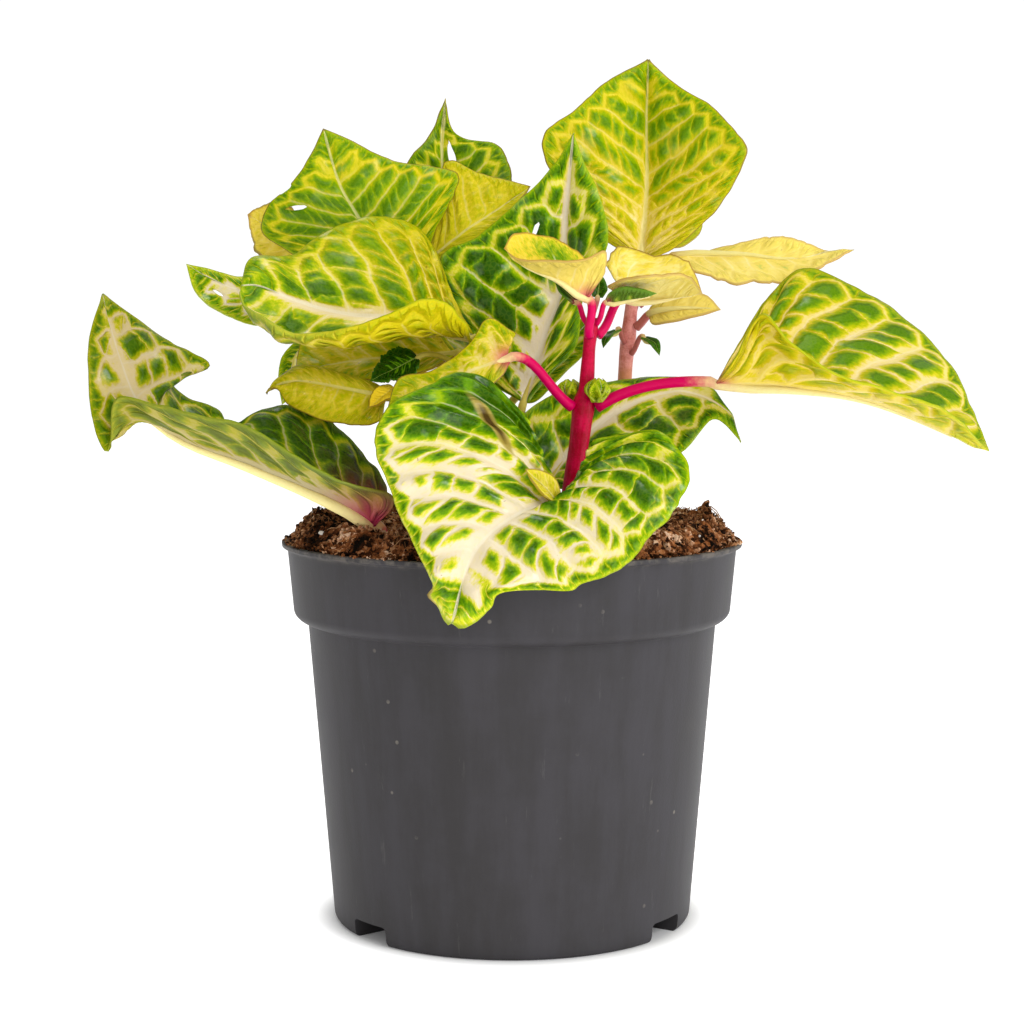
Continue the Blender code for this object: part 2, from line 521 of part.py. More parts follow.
def make_bud(name, centre, size):
    """A tight tuft of unopened leaves, as one ridged egg."""
    bm = bmesh.new()
    bmesh.ops.create_icosphere(bm, subdivisions=2, radius=1.0)
    for v in bm.verts:
        swell = 1.0 + 0.16 * noise.noise(v.co * 2.2 + Vector(centre))
        v.co = Vector([(centre[i] + size[i] * swell * v.co[i]) * MM for i in range(3)])
    mesh = bpy.data.meshes.new(name)
    bm.to_mesh(mesh)
    bm.free()
    add_object(name, mesh, "leaf_young")


def make_materials():
    made = {}
    for name, (colour, roughness) in COLOURS.items():
        material = bpy.data.materials.new(name)
        material.use_nodes = True
        shader = material.node_tree.nodes["Principled BSDF"]
        shader.inputs["Base Color"].default_value = (*colour, 1.0)
        shader.inputs["Roughness"].default_value = roughness
        shader.inputs["Metallic"].default_value = 0.0
        material.diffuse_color = (*colour, 1.0)
        made[name] = material
    return made


for old in list(bpy.data.objects):
    bpy.data.objects.remove(old)
plant = bpy.data.collections.new("potted_bloodleaf")
bpy.context.scene.collection.children.link(plant)
materials = make_materials()
leaves = make_leaves()
make_pot()
make_mix()
make_stems()
for leaf in leaves:
    make_leaf(leaf)
make_bud("bud_left", (15.0, -11.3, 138.5), (2.6, 2.6, 3.0))
make_bud("bud_right", (21.1, -19.5, 139.0), (3.4, 2.6, 2.6))
for obj in plant.objects:
    obj.data.name = obj.name
    for face in obj.data.polygons:
        face.use_smooth = True
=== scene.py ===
"""Looks for the potted bloodleaf: finer leaves, stems, potting mix and pot over the CAD frame.

The leaves follow the same midribs and margins as the part's own; veins, puckers and markings are added here.
Sizes are in millimetres and are multiplied by MM where they are used.
"""

import bisect
import math
import random

import bmesh
import bpy
from mathutils import Matrix, Vector, noise


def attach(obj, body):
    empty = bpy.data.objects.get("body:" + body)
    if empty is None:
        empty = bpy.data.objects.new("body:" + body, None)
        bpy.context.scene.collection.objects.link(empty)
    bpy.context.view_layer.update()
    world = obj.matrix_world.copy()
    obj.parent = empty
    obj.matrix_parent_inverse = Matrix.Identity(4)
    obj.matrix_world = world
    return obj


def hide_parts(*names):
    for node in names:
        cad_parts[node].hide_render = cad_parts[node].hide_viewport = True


MM = 0.001
GAP = 0.35
LEAVING_SLOPE = 0.6
ROOT_HALF_WIDTH = 1.3

STEMS = {
    "stem_front": ("stem_red", [
        (12, -12, 86, 2.5), (14.5, -13, 108, 2.5), (16.8, -14, 123.4, 2.5), (17.7, -15, 131, 2.7),
        (18.2, -15, 135, 3.0), (18.8, -15, 139, 2.0), (19.5, -15, 149, 1.6), (20.0, -15, 154, 1.8), (20.3, -15, 157, 1.3)]),
    "stem_right": ("stem_old", [
        (29, 18, 86, 2.1), (29.6, 18, 112, 2.0), (30.3, 18, 141, 1.9), (31.2, 18, 152, 2.1), (32, 17, 161, 1.6),
        (32.3, 17, 164, 1.4)]),
    "stem_middle": ("stem_old", [
        (-5, 5, 86, 2.3), (-5, 2, 110, 2.2), (-5.5, -2, 132, 2.0), (-7, -5, 144, 1.8), (-7.5, -6, 148, 1.4)]),
    "stem_left": ("stem_old", [
        (-25, 15, 86, 2.2), (-25, 15.5, 120, 2.1), (-24.8, 16, 154, 2.0), (-26, 18, 166, 1.6), (-26.5, 18.5, 169, 1.3)]),
}


class Leaf:
    """A blade given by a midrib and, on each side, one margin or a fold line and a margin.

    All paths run from root to tip. left and right are as seen from the blade's upper face with the tip ahead.
    A lobed side's margin starts at the lobe's far point, and a straight edge joins that point to the root.
    on names the stem and the height at which the petiole leaves it. bulge lifts each half off the straight line
    between midrib and margin, towards the upper face. rib above 1 feeds a heart-shaped base from near the root.
    """

    def __init__(self, name, root, mid, tip, left, right, on=None, start=None, lobed=(False, False), petiole=1.1,
                 bulge=0.0, rib=1.2, dress="leaf_mature"):
        self.name = name
        self.on = on
        self.start = start
        self.petiole = petiole
        self.bulge = bulge
        self.rib = rib
        self.dress = dress
        self.midrib = Path([root, *mid, tip])
        ahead = self.midrib.heading(0.0)
        across = Vector(right[0][1 % len(right[0])]) - Vector(left[0][1 % len(left[0])])
        across = (across - ahead * across.dot(ahead)).normalized() * ROOT_HALF_WIDTH
        self.across = across * MM
        self.lobed = lobed
        self.left = [self.midrib]
        self.right = [self.midrib]
        for rails, sides, turn in ((self.left, left, -1), (self.right, right, 1)):
            for i, side in enumerate(sides):
                first = [] if lobed[turn > 0] else [Vector(root) + across * turn * (i + 1)]
                rails.append(Path([*first, *side, tip]))


class Path:
    """A smooth curve through points given in millimetres, read by its fraction of length."""

    STEPS = 8

    def __init__(self, points):
        spots = [Vector(p) * MM for p in points]
        spots = [spots[0] * 2 - spots[1]] + spots + [spots[-1] * 2 - spots[-2]]
        self.places = [spots[1]]
        for a, b, c, d in zip(spots, spots[1:], spots[2:], spots[3:]):
            for i in range(1, self.STEPS + 1):
                t = i / self.STEPS
                self.places.append(0.5 * (2 * b + (c - a) * t + (2 * a - 5 * b + 4 * c - d) * t * t
                                          + (3 * b - a - 3 * c + d) * t ** 3))
        self.marks = [0.0]
        for a, b in zip(self.places, self.places[1:]):
            self.marks.append(self.marks[-1] + (b - a).length)

    def at(self, fraction):
        target = min(max(fraction, 0.0), 1.0) * self.marks[-1]
        i = min(max(bisect.bisect_left(self.marks, target) - 1, 0), len(self.marks) - 2)
        low, high = self.marks[i], self.marks[i + 1]
        return self.places[i].lerp(self.places[i + 1], (target - low) / (high - low))

    def heading(self, fraction):
        return (self.at(fraction + 0.02) - self.at(fraction - 0.02)).normalized()


def plain_leaf(name, root, tip, width, up, sag=0.0, cup=0.0, **rest):
    """A simple pointed leaf: width is half the blade's width, sag drops its middle, cup lifts its margins."""
    a, b, up = Vector(root), Vector(tip), Vector(up).normalized()
    side = (b - a).normalized().cross(up).normalized()
    mid = [a.lerp(b, 0.5) - up * sag]
    margins = []
    for turn in (-1, 1):
        margins.append([a.lerp(b, t) + side * turn * width * w + up * (cup * w - sag * s)
                        for t, w, s in ((0.12, 0.7, 0.4), (0.4, 1.0, 1.0), (0.75, 0.6, 0.7))])
    return Leaf(name, root, mid, tip, [margins[0]], [margins[1]], **rest)


def make_leaves():
    red = ("stem_front", 135)
    return [
        # Lower tier
        Leaf("leaf_front", (12, -40, 112), [(1, -50, 110), (-9, -62, 102)], (-14, -67, 86),
             [[(20, -31, 127), (36, -36, 129), (43, -44, 118), (34, -53, 106), (22, -63, 97),
               (5, -67, 94), (-3, -68, 90)]],
             [[(3, -36, 134), (-8, -38, 143), (-21, -42, 141), (-33, -46, 131), (-28, -56, 114),
               (-19, -65, 96)]],
             on=("stem_front", 108), lobed=(True, True), petiole=1.3, bulge=2.0, rib=1.5),
        Leaf("leaf_left_long", (-34, -32, 106),
             [(-43, -37, 113), (-64, -40, 122), (-80, -40, 128), (-90, -40, 136), (-96, -36, 149)], (-101, -28, 163),
             [[(-29, -41, 113), (-42, -47, 119), (-65, -51, 132), (-86, -49, 136), (-95, -46, 137), (-97, -45, 125),
               (-101, -43, 131), (-103, -37, 150)]],
             [[(-31, -24, 113), (-35, -16, 120), (-44, -12, 129), (-58, -14, 135), (-71, -20, 133), (-84, -26, 141),
               (-76, -20, 145), (-90, -22, 154)]],
             start=(-31, -29, 92), petiole=1.9, rib=1.1),
        Leaf("leaf_right_back", (9, -5, 114), [(15, -1, 122), (28, 2, 133), (44, 1, 138), (56, -4, 133)],
             (59, -8, 125),
             [[(3, -3, 121), (2, 0, 130), (9, 4, 136), (23, 8, 140), (38, 9, 142), (52, 4, 139)]],
             [[(17, -10, 113), (33, -12, 117), (44, -10, 123), (52, -7, 131)]],
             on=("stem_middle", 106), bulge=1.0),
        # Middle tier
        Leaf("leaf_right", (51, -24, 141), [(72, -29, 140), (91, -31, 136)], (118, -30, 124),
             [[(59, -12, 153), (66, 0, 162), (76, 6, 170), (89, 6, 166), (105, 2, 155), (113, -6, 145),
               (117, -18, 132)]],
             [[(55, -34, 148), (60, -42, 158), (66, -46, 152), (77, -48, 144), (89, -46, 140), (105, -40, 135)]],
             on=red, petiole=1.4, rib=1.3),
        Leaf("leaf_left_wide", (-10, -12, 152), [(-28, -14, 157), (-41, -16, 158), (-53, -18, 161), (-63, -19, 165)],
             (-68, -19, 165),
             [[(-14, -17, 152), (-25, -24, 152), (-40, -27, 149), (-56, -26, 151), (-63, -23, 156), (-66, -21, 161)],
              [(-12, -22, 156), (-20, -30, 162), (-35, -33, 156), (-52, -31, 153), (-61, -29, 157), (-66, -25, 160)]],
             [[(-15, -4, 162), (-20, 4, 175), (-27, 6, 182), (-38, 2, 183), (-50, -4, 178), (-56, -8, 173),
               (-66, -13, 172)]],
             on=("stem_middle", 145), bulge=1.5, rib=1.3),
        Leaf("leaf_centre_flap", (-1, -24, 147), [(-10, -27, 144), (-20, -29, 139)], (-31, -30, 134),
             [[(-3, -27, 142), (-10, -30, 137), (-21, -31, 135)]],
             [[(1, -20, 153), (-6, -18, 157), (-11, -21, 150), (-20, -26, 144), (-28, -29, 142)]],
             on=red, lobed=(False, True), petiole=1.25, dress="leaf_lime"),
        Leaf("leaf_centre_back", (3, 3, 135), [(9, 5, 154), (13, 7, 164), (14, 8, 183)], (16, 6, 205),
             [[(-6, 4, 141), (-13, 6, 155), (-19, 9, 172), (-8, 9, 179), (2, 8, 188), (11, 7, 197)]],
             [[(10, 3, 142), (17, 3, 150), (19, 3, 164), (25, 3, 176), (23, 3, 188), (19, 5, 197)]],
             on=("stem_middle", 118), bulge=1.5, rib=1.3),
        Leaf("leaf_folded", (1, 10, 136), [(10, 12, 145)], (21, 13, 157),
             [[(0, 10, 139), (7, 14, 150), (15, 14, 156)]], [[(6, 8, 135), (13, 8, 142), (21, 10, 150)]],
             on=("stem_middle", 124)),
        Leaf("leaf_left_low", (-32, -12, 137), [(-42, -14, 139), (-52, -17, 141), (-58, -18.5, 140.5)], (-62, -19, 138),
             [[(-35, -16, 130), (-47, -19, 131), (-56, -20, 135), (-59, -20, 139)]],
             [[(-35, -10, 140), (-43, -10, 143), (-53, -13, 145), (-59, -17, 142)]],
             on=("stem_left", 128), bulge=1.5, dress="leaf_lime"),
        Leaf("leaf_left_inner", (-15, -3, 148), [(-29, -2, 147), (-42, -3, 146)], (-56, -5, 143),
             [[(-21, -7, 144), (-33, -8, 141), (-47, -8, 142)]], [[(-22, 4, 156), (-40, 6, 158), (-54, 3, 152)]],
             on=("stem_middle", 134), dress="leaf_lime"),
        Leaf("leaf_left_sliver", (-51, 10, 150), [(-57, 11, 148), (-59, 11, 142)], (-61, 10, 134),
             [[(-53, 8, 145), (-56, 8, 139)]], [[(-57, 12, 151), (-61, 12, 147), (-62, 11, 141)]],
             on=("stem_left", 144), petiole=0.8),
        # Upper tier, left
        Leaf("leaf_upper_left", (-30, 10, 166), [(-41, 14, 184), (-46, 16, 193)], (-50, 16, 207),
             [[(-44, 12, 166), (-60, 15, 175), (-67, 18, 180), (-65, 18, 187), (-60, 16, 191), (-55, 15, 197)]],
             [[(-22, 14, 170), (-21, 14, 178), (-14, 16, 193), (-19, 18, 197), (-32, 18, 199), (-45, 17, 205)]],
             on=("stem_left", 158), bulge=1.5, rib=1.3, dress="leaf_lime"),
        Leaf("leaf_left_tip", (-58, 8, 162), [(-70, 7, 164), (-78, 5, 167)], (-85, 4, 171),
             [[(-65, 4, 155), (-75, 2, 158), (-82, 2, 163)]], [[(-64, 10, 168), (-73, 9, 168), (-80, 6, 170)]],
             on=("stem_left", 150)),
        Leaf("leaf_far_left", (-49, 26, 172), [(-58, 28, 177)], (-72, 30, 185),
             [[(-55, 26, 169), (-68, 29, 173), (-71, 30, 179)]], [[(-54, 29, 181), (-62, 31, 188), (-69, 31, 187)]],
             on=("stem_left", 162), dress="leaf_pale"),
        Leaf("leaf_back_centre", (-20, 28, 178), [(-19, 31, 189), (-19, 32, 203)], (-18, 28, 216),
             [[(-26, 28, 182), (-30, 30, 192), (-28, 31, 200), (-23, 31, 206)]],
             [[(-11, 28, 179), (-2, 28, 186), (0, 28, 194), (-3, 30, 203), (-11, 31, 205), (-16, 30, 208)]],
             on=("stem_left", 168), bulge=1.0, dress="leaf_lime"),
        Leaf("leaf_back_folded", (-23, 16, 172), [(-11, 14, 181)], (5, 20, 192),
             [[(-20, 20, 184), (-18, 25, 199), (-9, 24, 196), (2, 21, 193)]],
             [[(-19, 12, 172), (-11, 12, 177), (-2, 14, 183)]],
             on=("stem_left", 165), dress="leaf_lime"),
        # Upper tier, right
        Leaf("leaf_top", (34, 14, 172), [(36, 20, 191), (36, 22, 210)], (36, 16, 225),
             [[(23, 14, 179), (12, 15, 193), (8, 15, 204), (17, 16, 212), (26, 18, 220)]],
             [[(44, 12, 176), (55, 10, 187), (61, 8, 199), (59, 8, 205), (53, 12, 212), (44, 16, 218)]],
             start=(32.5, 16.8, 165.3), petiole=1.3, bulge=1.5, dress="leaf_lime"),
        Leaf("leaf_yellow_left", (19, -19, 162), [(12, -21, 167), (4, -23, 170)], (-2, -25, 174),
             [[(23, -22, 168), (23, -26, 173), (16, -30, 171), (7, -29, 171), (1, -27, 172)]],
             [[(19, -12, 169), (17, -10, 173), (10, -13, 177), (1, -20, 178)]],
             on=("stem_front", 153), dress="leaf_pale"),
        Leaf("leaf_yellow_right", (29, -11, 162), [(36, -12, 162), (43, -14, 163)], (48, -16, 163),
             [[(24, -4, 171), (28, 2, 176), (36, 2, 174), (44, 0, 172), (47, -6, 168)]],
             [[(24, -18, 165), (29, -24, 167), (35, -26, 168), (44, -22, 168)]],
             on=("stem_front", 153), lobed=(True, True), dress="leaf_pale"),
        Leaf("leaf_far_right", (43, 18, 173), [(61, 16, 173), (74, 15, 172)], (91, 15, 175),
             [[(44, 12, 169), (60, 6, 166), (73, 6, 167), (84, 10, 171)]],
             [[(50, 20, 174), (68, 18, 178), (77, 17, 177), (85, 16, 174)]],
             on=("stem_right", 161), dress="leaf_pale"),
        Leaf("leaf_right_low", (37, 14, 158), [(44, 10, 159)], (55, 8, 159),
             [[(38, 10, 155), (48, 6, 157)]], [[(38, 13, 161), (43, 12, 164), (51, 10, 163)]],
             on=("stem_right", 155), dress="leaf_pale"),
        # Young leaves at the growing points
        plain_leaf("leaf_young_hook_left", (28, 13, 154), (24, 8, 149), 1.6, (-1, -1, 1), sag=-1.5,
                   on=("stem_right", 151), petiole=0.7, dress="leaf_young"),
        plain_leaf("leaf_young_hook_right", (35, 12, 152), (39, 9, 147), 1.8, (1, -1, 1), sag=-1.5,
                   on=("stem_right", 148), petiole=0.7, dress="leaf_young"),
        plain_leaf("leaf_young_top_right", (24, -18.5, 161), (36, -24, 163), 3.0, (0, 0.4, 1), cup=2.0,
                   on=("stem_front", 156), petiole=0.7, dress="leaf_young"),
        plain_leaf("leaf_young_top", (21.6, -14.8, 162), (22.4, -14, 168), 2.2, (0, -1, 0.2), cup=0.4,
                   start=(20.4, -15, 157.8), petiole=0.7, dress="leaf_young"),
        plain_leaf("leaf_young_top_left", (16.5, -11.5, 161), (11, -10, 166), 2.4, (0, -0.6, 1), cup=1.0,
                   on=("stem_front", 156), petiole=0.7, dress="leaf_young"),
        plain_leaf("leaf_young_inner", (-24, -12, 147), (-36, -15, 141), 5.0, (0, -0.8, 0.6), cup=1.0,
                   on=("stem_middle", 141), petiole=0.7, dress="leaf_young"),
        # Leaves on the far side, which the front ones hide
        plain_leaf("leaf_back_right", (36, 30, 176), (42, 62, 204), 15, (0, 1, -0.6), sag=-2, cup=3,
                   on=("stem_right", 160), dress="leaf_lime"),
        plain_leaf("leaf_back_middle", (-12, 14, 140), (0, 60, 180), 17, (0, 1, -0.6), sag=-2, cup=3,
                   on=("stem_middle", 112), dress="leaf_mature"),
        plain_leaf("leaf_back_left", (-36, 28, 158), (-54, 62, 176), 15, (-0.3, 1, -0.6), sag=-2, cup=3,
                   on=("stem_left", 154), dress="leaf_mature"),
    ]


def stem_at(name, height):
    """The stem's axis point and radius, both in millimetres, at a height."""
    spots = STEMS[name][1]
    for low, high in zip(spots, spots[1:]):
        if low[2] <= height <= high[2]:
            mix = Vector(low).lerp(Vector(high), (height - low[2]) / (high[2] - low[2]))
            return Vector(mix[:3]), mix[3]
    return Vector(spots[-1][:3]), spots[-1][3]


def petiole_start(leaf):
    """Where the petiole begins, just clear of the stem's side or end, and the direction in which it sets off."""
    root = leaf.midrib.at(0.0)
    if leaf.start:
        start = Vector(leaf.start) * MM
        return start, (root - start).normalized()
    axis, radius = stem_at(*leaf.on)
    out = root - axis * MM
    rise = LEAVING_SLOPE if out.z > 0 else -LEAVING_SLOPE
    out.z = 0.0
    out.normalize()
    return (axis + out * (radius + GAP + leaf.petiole * LEAVING_SLOPE)) * MM, (out + Vector((0, 0, rise))).normalized()


def blade_point(leaf, across, along):
    """Place on the blade: across runs -1 to 1 from margin to margin, along 0 to 1 from root to tip."""
    rails = leaf.right if across >= 0 else leaf.left
    reach = abs(across)
    spots = [rails[0].at(along ** leaf.rib)] + [rail.at(along) for rail in rails[1:]]
    if len(spots) == 2:
        place = spots[0].lerp(spots[1], reach)
    else:
        place = (spots[0] * (1 - reach) * (1 - 2 * reach) + spots[1] * 4 * reach * (1 - reach)
                 + spots[2] * reach * (2 * reach - 1))
    turn = 1 if across >= 0 else -1
    if leaf.lobed[turn > 0]:
        place = place + leaf.across * turn * (1 - reach) * min(reach * 3, 1) * max(0, 1 - along * 4)
    out = (spots[1] - spots[0]) * turn
    up = out.cross(leaf.midrib.heading(along)).normalized()
    swell = math.sin(math.pi * along) ** 0.5 if 0 < along < 1 else 0.0
    return place + up * leaf.bulge * MM * 4 * reach * (1 - reach) * swell

def fine_stalk(leaf):
    """Points, radii and shares of length of the petiole, which carries on as the midrib's ridge under the blade."""
    start, away = petiole_start(leaf)
    root, ahead = leaf.midrib.at(0.0), leaf.midrib.heading(0.0)
    span = (root - start).length
    bends = start - away * (GAP + 0.6) * MM, start + away * span * 0.35, root - ahead * span * 0.35, root
    spots, radii, shares = [], [], []
    for i in range(18):
        t = i / 18
        spots.append(bends[0] * (1 - t) ** 3 + bends[1] * 3 * t * (1 - t) ** 2 + bends[2] * 3 * t * t * (1 - t)
                     + bends[3] * t ** 3)
        radii.append(leaf.petiole * (1.0 + 0.22 * math.exp(-t * 9)))
        shares.append(t)
    for i in range(22):
        t = i / 22 * 0.9
        out = leaf.right[1].at(max(t, 0.1)) - leaf.left[1].at(max(t, 0.1))
        up = out.cross(leaf.midrib.heading(t)).normalized()
        radius = leaf.petiole * (1.0 - t) ** 1.2 * 0.85 + 0.1
        spots.append(leaf.midrib.at(t) - up * (radius * (0.6 + 0.35 * min(t * 8, 1)) + 0.5 * min(t * 8, 1)) * MM)
        radii.append(radius)
        shares.append(1.0 + t)
    return spots, radii, shares


def tube(name, spots, radii, resolution=3):
    """A closed tube through spots, made from a bevelled curve and turned into a welded mesh."""
    curve = bpy.data.curves.new(name, "CURVE")
    curve.dimensions = "3D"
    curve.bevel_depth = 1.0
    curve.bevel_resolution = resolution
    curve.use_fill_caps = True
    spline = curve.splines.new("POLY")
    spline.points.add(len(spots) - 1)
    for p, spot, radius in zip(spline.points, spots, radii):
        p.co = (*spot, 1.0)
        p.radius = radius * MM
    obj = bpy.data.objects.new(name, curve)
    bpy.context.scene.collection.objects.link(obj)
    bpy.context.view_layer.update()
    mesh = bpy.data.meshes.new_from_object(obj.evaluated_get(bpy.context.evaluated_depsgraph_get()))
    bpy.data.objects.remove(obj)
    bm = bmesh.new()
    bm.from_mesh(mesh)
    bmesh.ops.remove_doubles(bm, verts=bm.verts, dist=0.000005)
    bmesh.ops.recalc_face_normals(bm, faces=bm.faces)
    for face in bm.faces:
        face.smooth = True
    bm.to_mesh(mesh)
    bm.free()
    return mesh


# How each leaf is marked. pairs: side veins to a side; green: how far green wins over cream; gold: how far the
# yellow of old leaves shows; both are changed by patches of (across, along, reach across, reach along, amount).
# holes: slits in the blade; scars: brown marks; lobes: where the margin stands out or in; wave: how much the margin waves, in millimetres
# A darkening value, set on leaf_left_long, multiplies the whole blade by a light grey: painted shade for a blade that
# gets less light.
LOOKS = {
    "leaf_front": dict(
        pairs=7.5, cell=5.0, green=-0.08, wave=1.0, grid=(76, 110), puff=1.5, ragged=0.03, blush=1.5, blunt=0.09,
        greens=[(0.1, 0.55, 0.55, 0.4, -0.5), (-0.75, 0.1, 0.45, 0.3, 0.5), (0.9, 0.08, 0.45, 0.14, 0.6),
                (0.95, 0.22, 0.25, 0.16, 0.9), (0.6, 0.35, 0.35, 0.25, 0.35), (-0.9, 0.6, 0.3, 0.3, 0.2),
                (-0.35, 0.45, 0.2, 0.2, 0.3), (0.0, 1.0, 1.0, 0.12, -0.4)],
        lobes=[(-1, 0.86, 0.3, 0.035, -0.25), (-1, 0.76, 0.3, 0.04, 0.12), (1, 0.93, 0.3, 0.02, 0.4)],
        scars=[(0.6, 0.215, 0.25, 0.02, 1.1), (1.0, 0.93, 0.12, 0.03, 0.9)]),
    "leaf_left_long": dict(
        dull=1.0, pairs=12, cell=5.5, green=0.12, grid=(60, 120), ragged=0.06, wave=1.4, blush=11.0,
        # The first gold patch yellows and darkens the arrow head, partly aged colour and partly painted shade where
        # less light falls.
        golds=[(0.0, 0.85, 1.5, 0.3, 0.4), (-0.5, 0.4, 0.7, 0.5, 0.15)],
        greens=[(0.8, 0.25, 0.6, 0.35, 0.5), (0.0, 0.85, 1.2, 0.22, -0.25), (0.0, 0.3, 0.2, 0.4, -0.6),
                (-0.9, 0.4, 0.4, 0.4, 0.25), (-1.0, 0.1, 0.3, 0.2, 0.3)],
        lobes=[(1, 0.5, 0.3, 0.03, -0.25)]),
    "leaf_right_back": dict(pairs=6, green=0.3, greens=[(0.0, 0.3, 0.15, 0.5, -0.5)]),
    "leaf_right": dict(
        pairs=7.5, cell=7.5, green=0.0, grid=(64, 100), puff=1.2, gold=0.6, calms=[(0.6, 0.0, 2.0, 0.25, 0.5)],
        golds=[(0.0, 0.0, 2.0, 0.4, 0.8), (0.8, 0.3, 0.8, 0.5, 0.5)],
        greens=[(0.0, 0.0, 1.0, 0.25, -0.3), (-1.0, 0.6, 0.3, 0.6, 0.25)]),
    "leaf_left_wide": dict(
        pairs=7.5, green=0.15, grid=(64, 90), puff=0.7, wave=0.3,
        calms=[(0.6, 0.0, 2.0, 0.3, 0.5), (-0.9, 0.2, 0.5, 0.5, 0.6), (0.9, 0.5, 0.5, 0.6, 0.5)],
        golds=[(0.0, 0.1, 2.0, 0.5, 1.0), (-0.8, 0.3, 0.5, 0.5, 0.6), (0.9, 0.5, 0.4, 0.5, 0.4)],
        greens=[(0.0, 0.6, 0.05, 0.5, -0.4), (0.2, 0.6, 0.12, 0.5, 0.25), (-0.2, 0.7, 0.12, 0.4, 0.25),
                (0.3, 0.1, 1.0, 0.3, -0.1), (0.5, 0.6, 0.4, 0.3, 0.1)]),
    "leaf_centre_back": dict(
        pairs=8, cell=5.5, green=0.4, grid=(60, 84), puff=0.8,
        greens=[(0.0, 0.1, 0.3, 0.35, -0.8), (0.0, 0.6, 0.1, 0.4, -0.6), (0.1, 0.8, 0.6, 0.15, -0.2)],
        holes=[(-0.45, 0.685, 0.035, 0.03)]),
    "leaf_top": dict(
        pairs=9, cell=3.6, green=0.5, gold=0.85, grid=(64, 80), wave=0.5, calms=[(0.0, 0.0, 2.0, 0.45, 0.7)],
        golds=[(0.0, 0.0, 2.0, 0.55, 0.3)], greens=[(0.0, 0.0, 1.5, 0.5, -0.85)]),
    "leaf_upper_left": dict(
        pairs=9, cell=3.6, green=0.52, gold=0.65, grid=(60, 80), ragged=0.03, golds=[(0.9, 0.3, 0.5, 0.5, 0.5)],
        holes=[(-0.61, 0.625, 0.13, 0.013), (-1.0, 0.74, 0.06, 0.03)]),
    "leaf_back_centre": dict(pairs=8, green=0.45, gold=0.3, holes=[(0.17, 0.645, 0.075, 0.11)]),
    "leaf_back_folded": dict(pairs=8, green=0.05, gold=1.0, calm=0.8, ragged=0.04),
    "leaf_left_inner": dict(pairs=8, green=0.1, gold=0.9, calm=0.4),
    "leaf_left_low": dict(pairs=9, green=0.0, scars=[(0.0, 1.0, 3.0, 0.05, 1.0)], gold=1.0, calm=0.65),
    "leaf_centre_flap": dict(pairs=6, green=0.05, gold=0.7, calm=0.4),
    "leaf_left_tip": dict(pairs=5, green=-0.05, holes=[(-0.4, 0.66, 0.06, 0.05)]),
    "leaf_young_top_right": dict(green=-0.12),
    "leaf_young_top": dict(green=-0.05),
    "leaf_young_inner": dict(pairs=7, green=0.6, puff=1.8, wave=2.4, grid=(40, 50), ragged=0.3),
    "leaf_yellow_left": dict(calm=0.7, wave=1.1, ragged=0.05, greens=[(0.6, 0.5, 0.35, 0.25, 0.7), (0.9, 0.05, 0.3, 0.1, 0.5)]),
    "leaf_yellow_right": dict(calm=0.5, wave=1.2, ragged=0.07, greens=[(0.0, 0.3, 2.0, 1.0, -0.1)]),
    "leaf_far_right": dict(calm=0.4, ragged=0.13, wave=1.6, pairs=9, scars=[(0.0, 1.0, 3.0, 0.02, 1.0)]),
    "leaf_far_left": dict(calm=0.5, ragged=0.15, wave=1.2, scars=[(-1.0, 0.6, 0.12, 0.5, 0.8), (1.0, 0.8, 0.1, 0.3, 0.7)]),
    "leaf_right_low": dict(calm=0.6, ragged=0.04),
    "flake": dict(blush=0.3, calm=1.0, gold=1.0, green=-0.3, ragged=0.12, grid=(20, 26)),
    "tab": dict(blush=0.3, calm=0.9, gold=0.8, green=-0.15, grid=(20, 26)),
}
PLAIN_LOOK = dict(dull=0.0, pairs=6.5, cell=4.5, green=0.2, gold=0.0, wave=0.7, calm=0.0, calms=[], blush=3.5, ragged=0.02,
                  blunt=0.02, grid=(44, 60), puff=0.6, greens=[], golds=[], scars=[], holes=[], lobes=[])
SMALL_LOOK = dict(blush=1.5, pairs=4, cell=2.5, green=0.1, wave=0.4, grid=(16, 22), puff=0.3)


def smooth_step(low, high, value):
    t = min(max((value - low) / (high - low), 0.0), 1.0)
    return t * t * (3 - 2 * t)


def is_red(leaf):
    """Leaves on the crimson stem, and the one that rises from the soil, have magenta petioles."""
    return bool(leaf.on and leaf.on[0] == "stem_front") or leaf.name == "leaf_left_long"


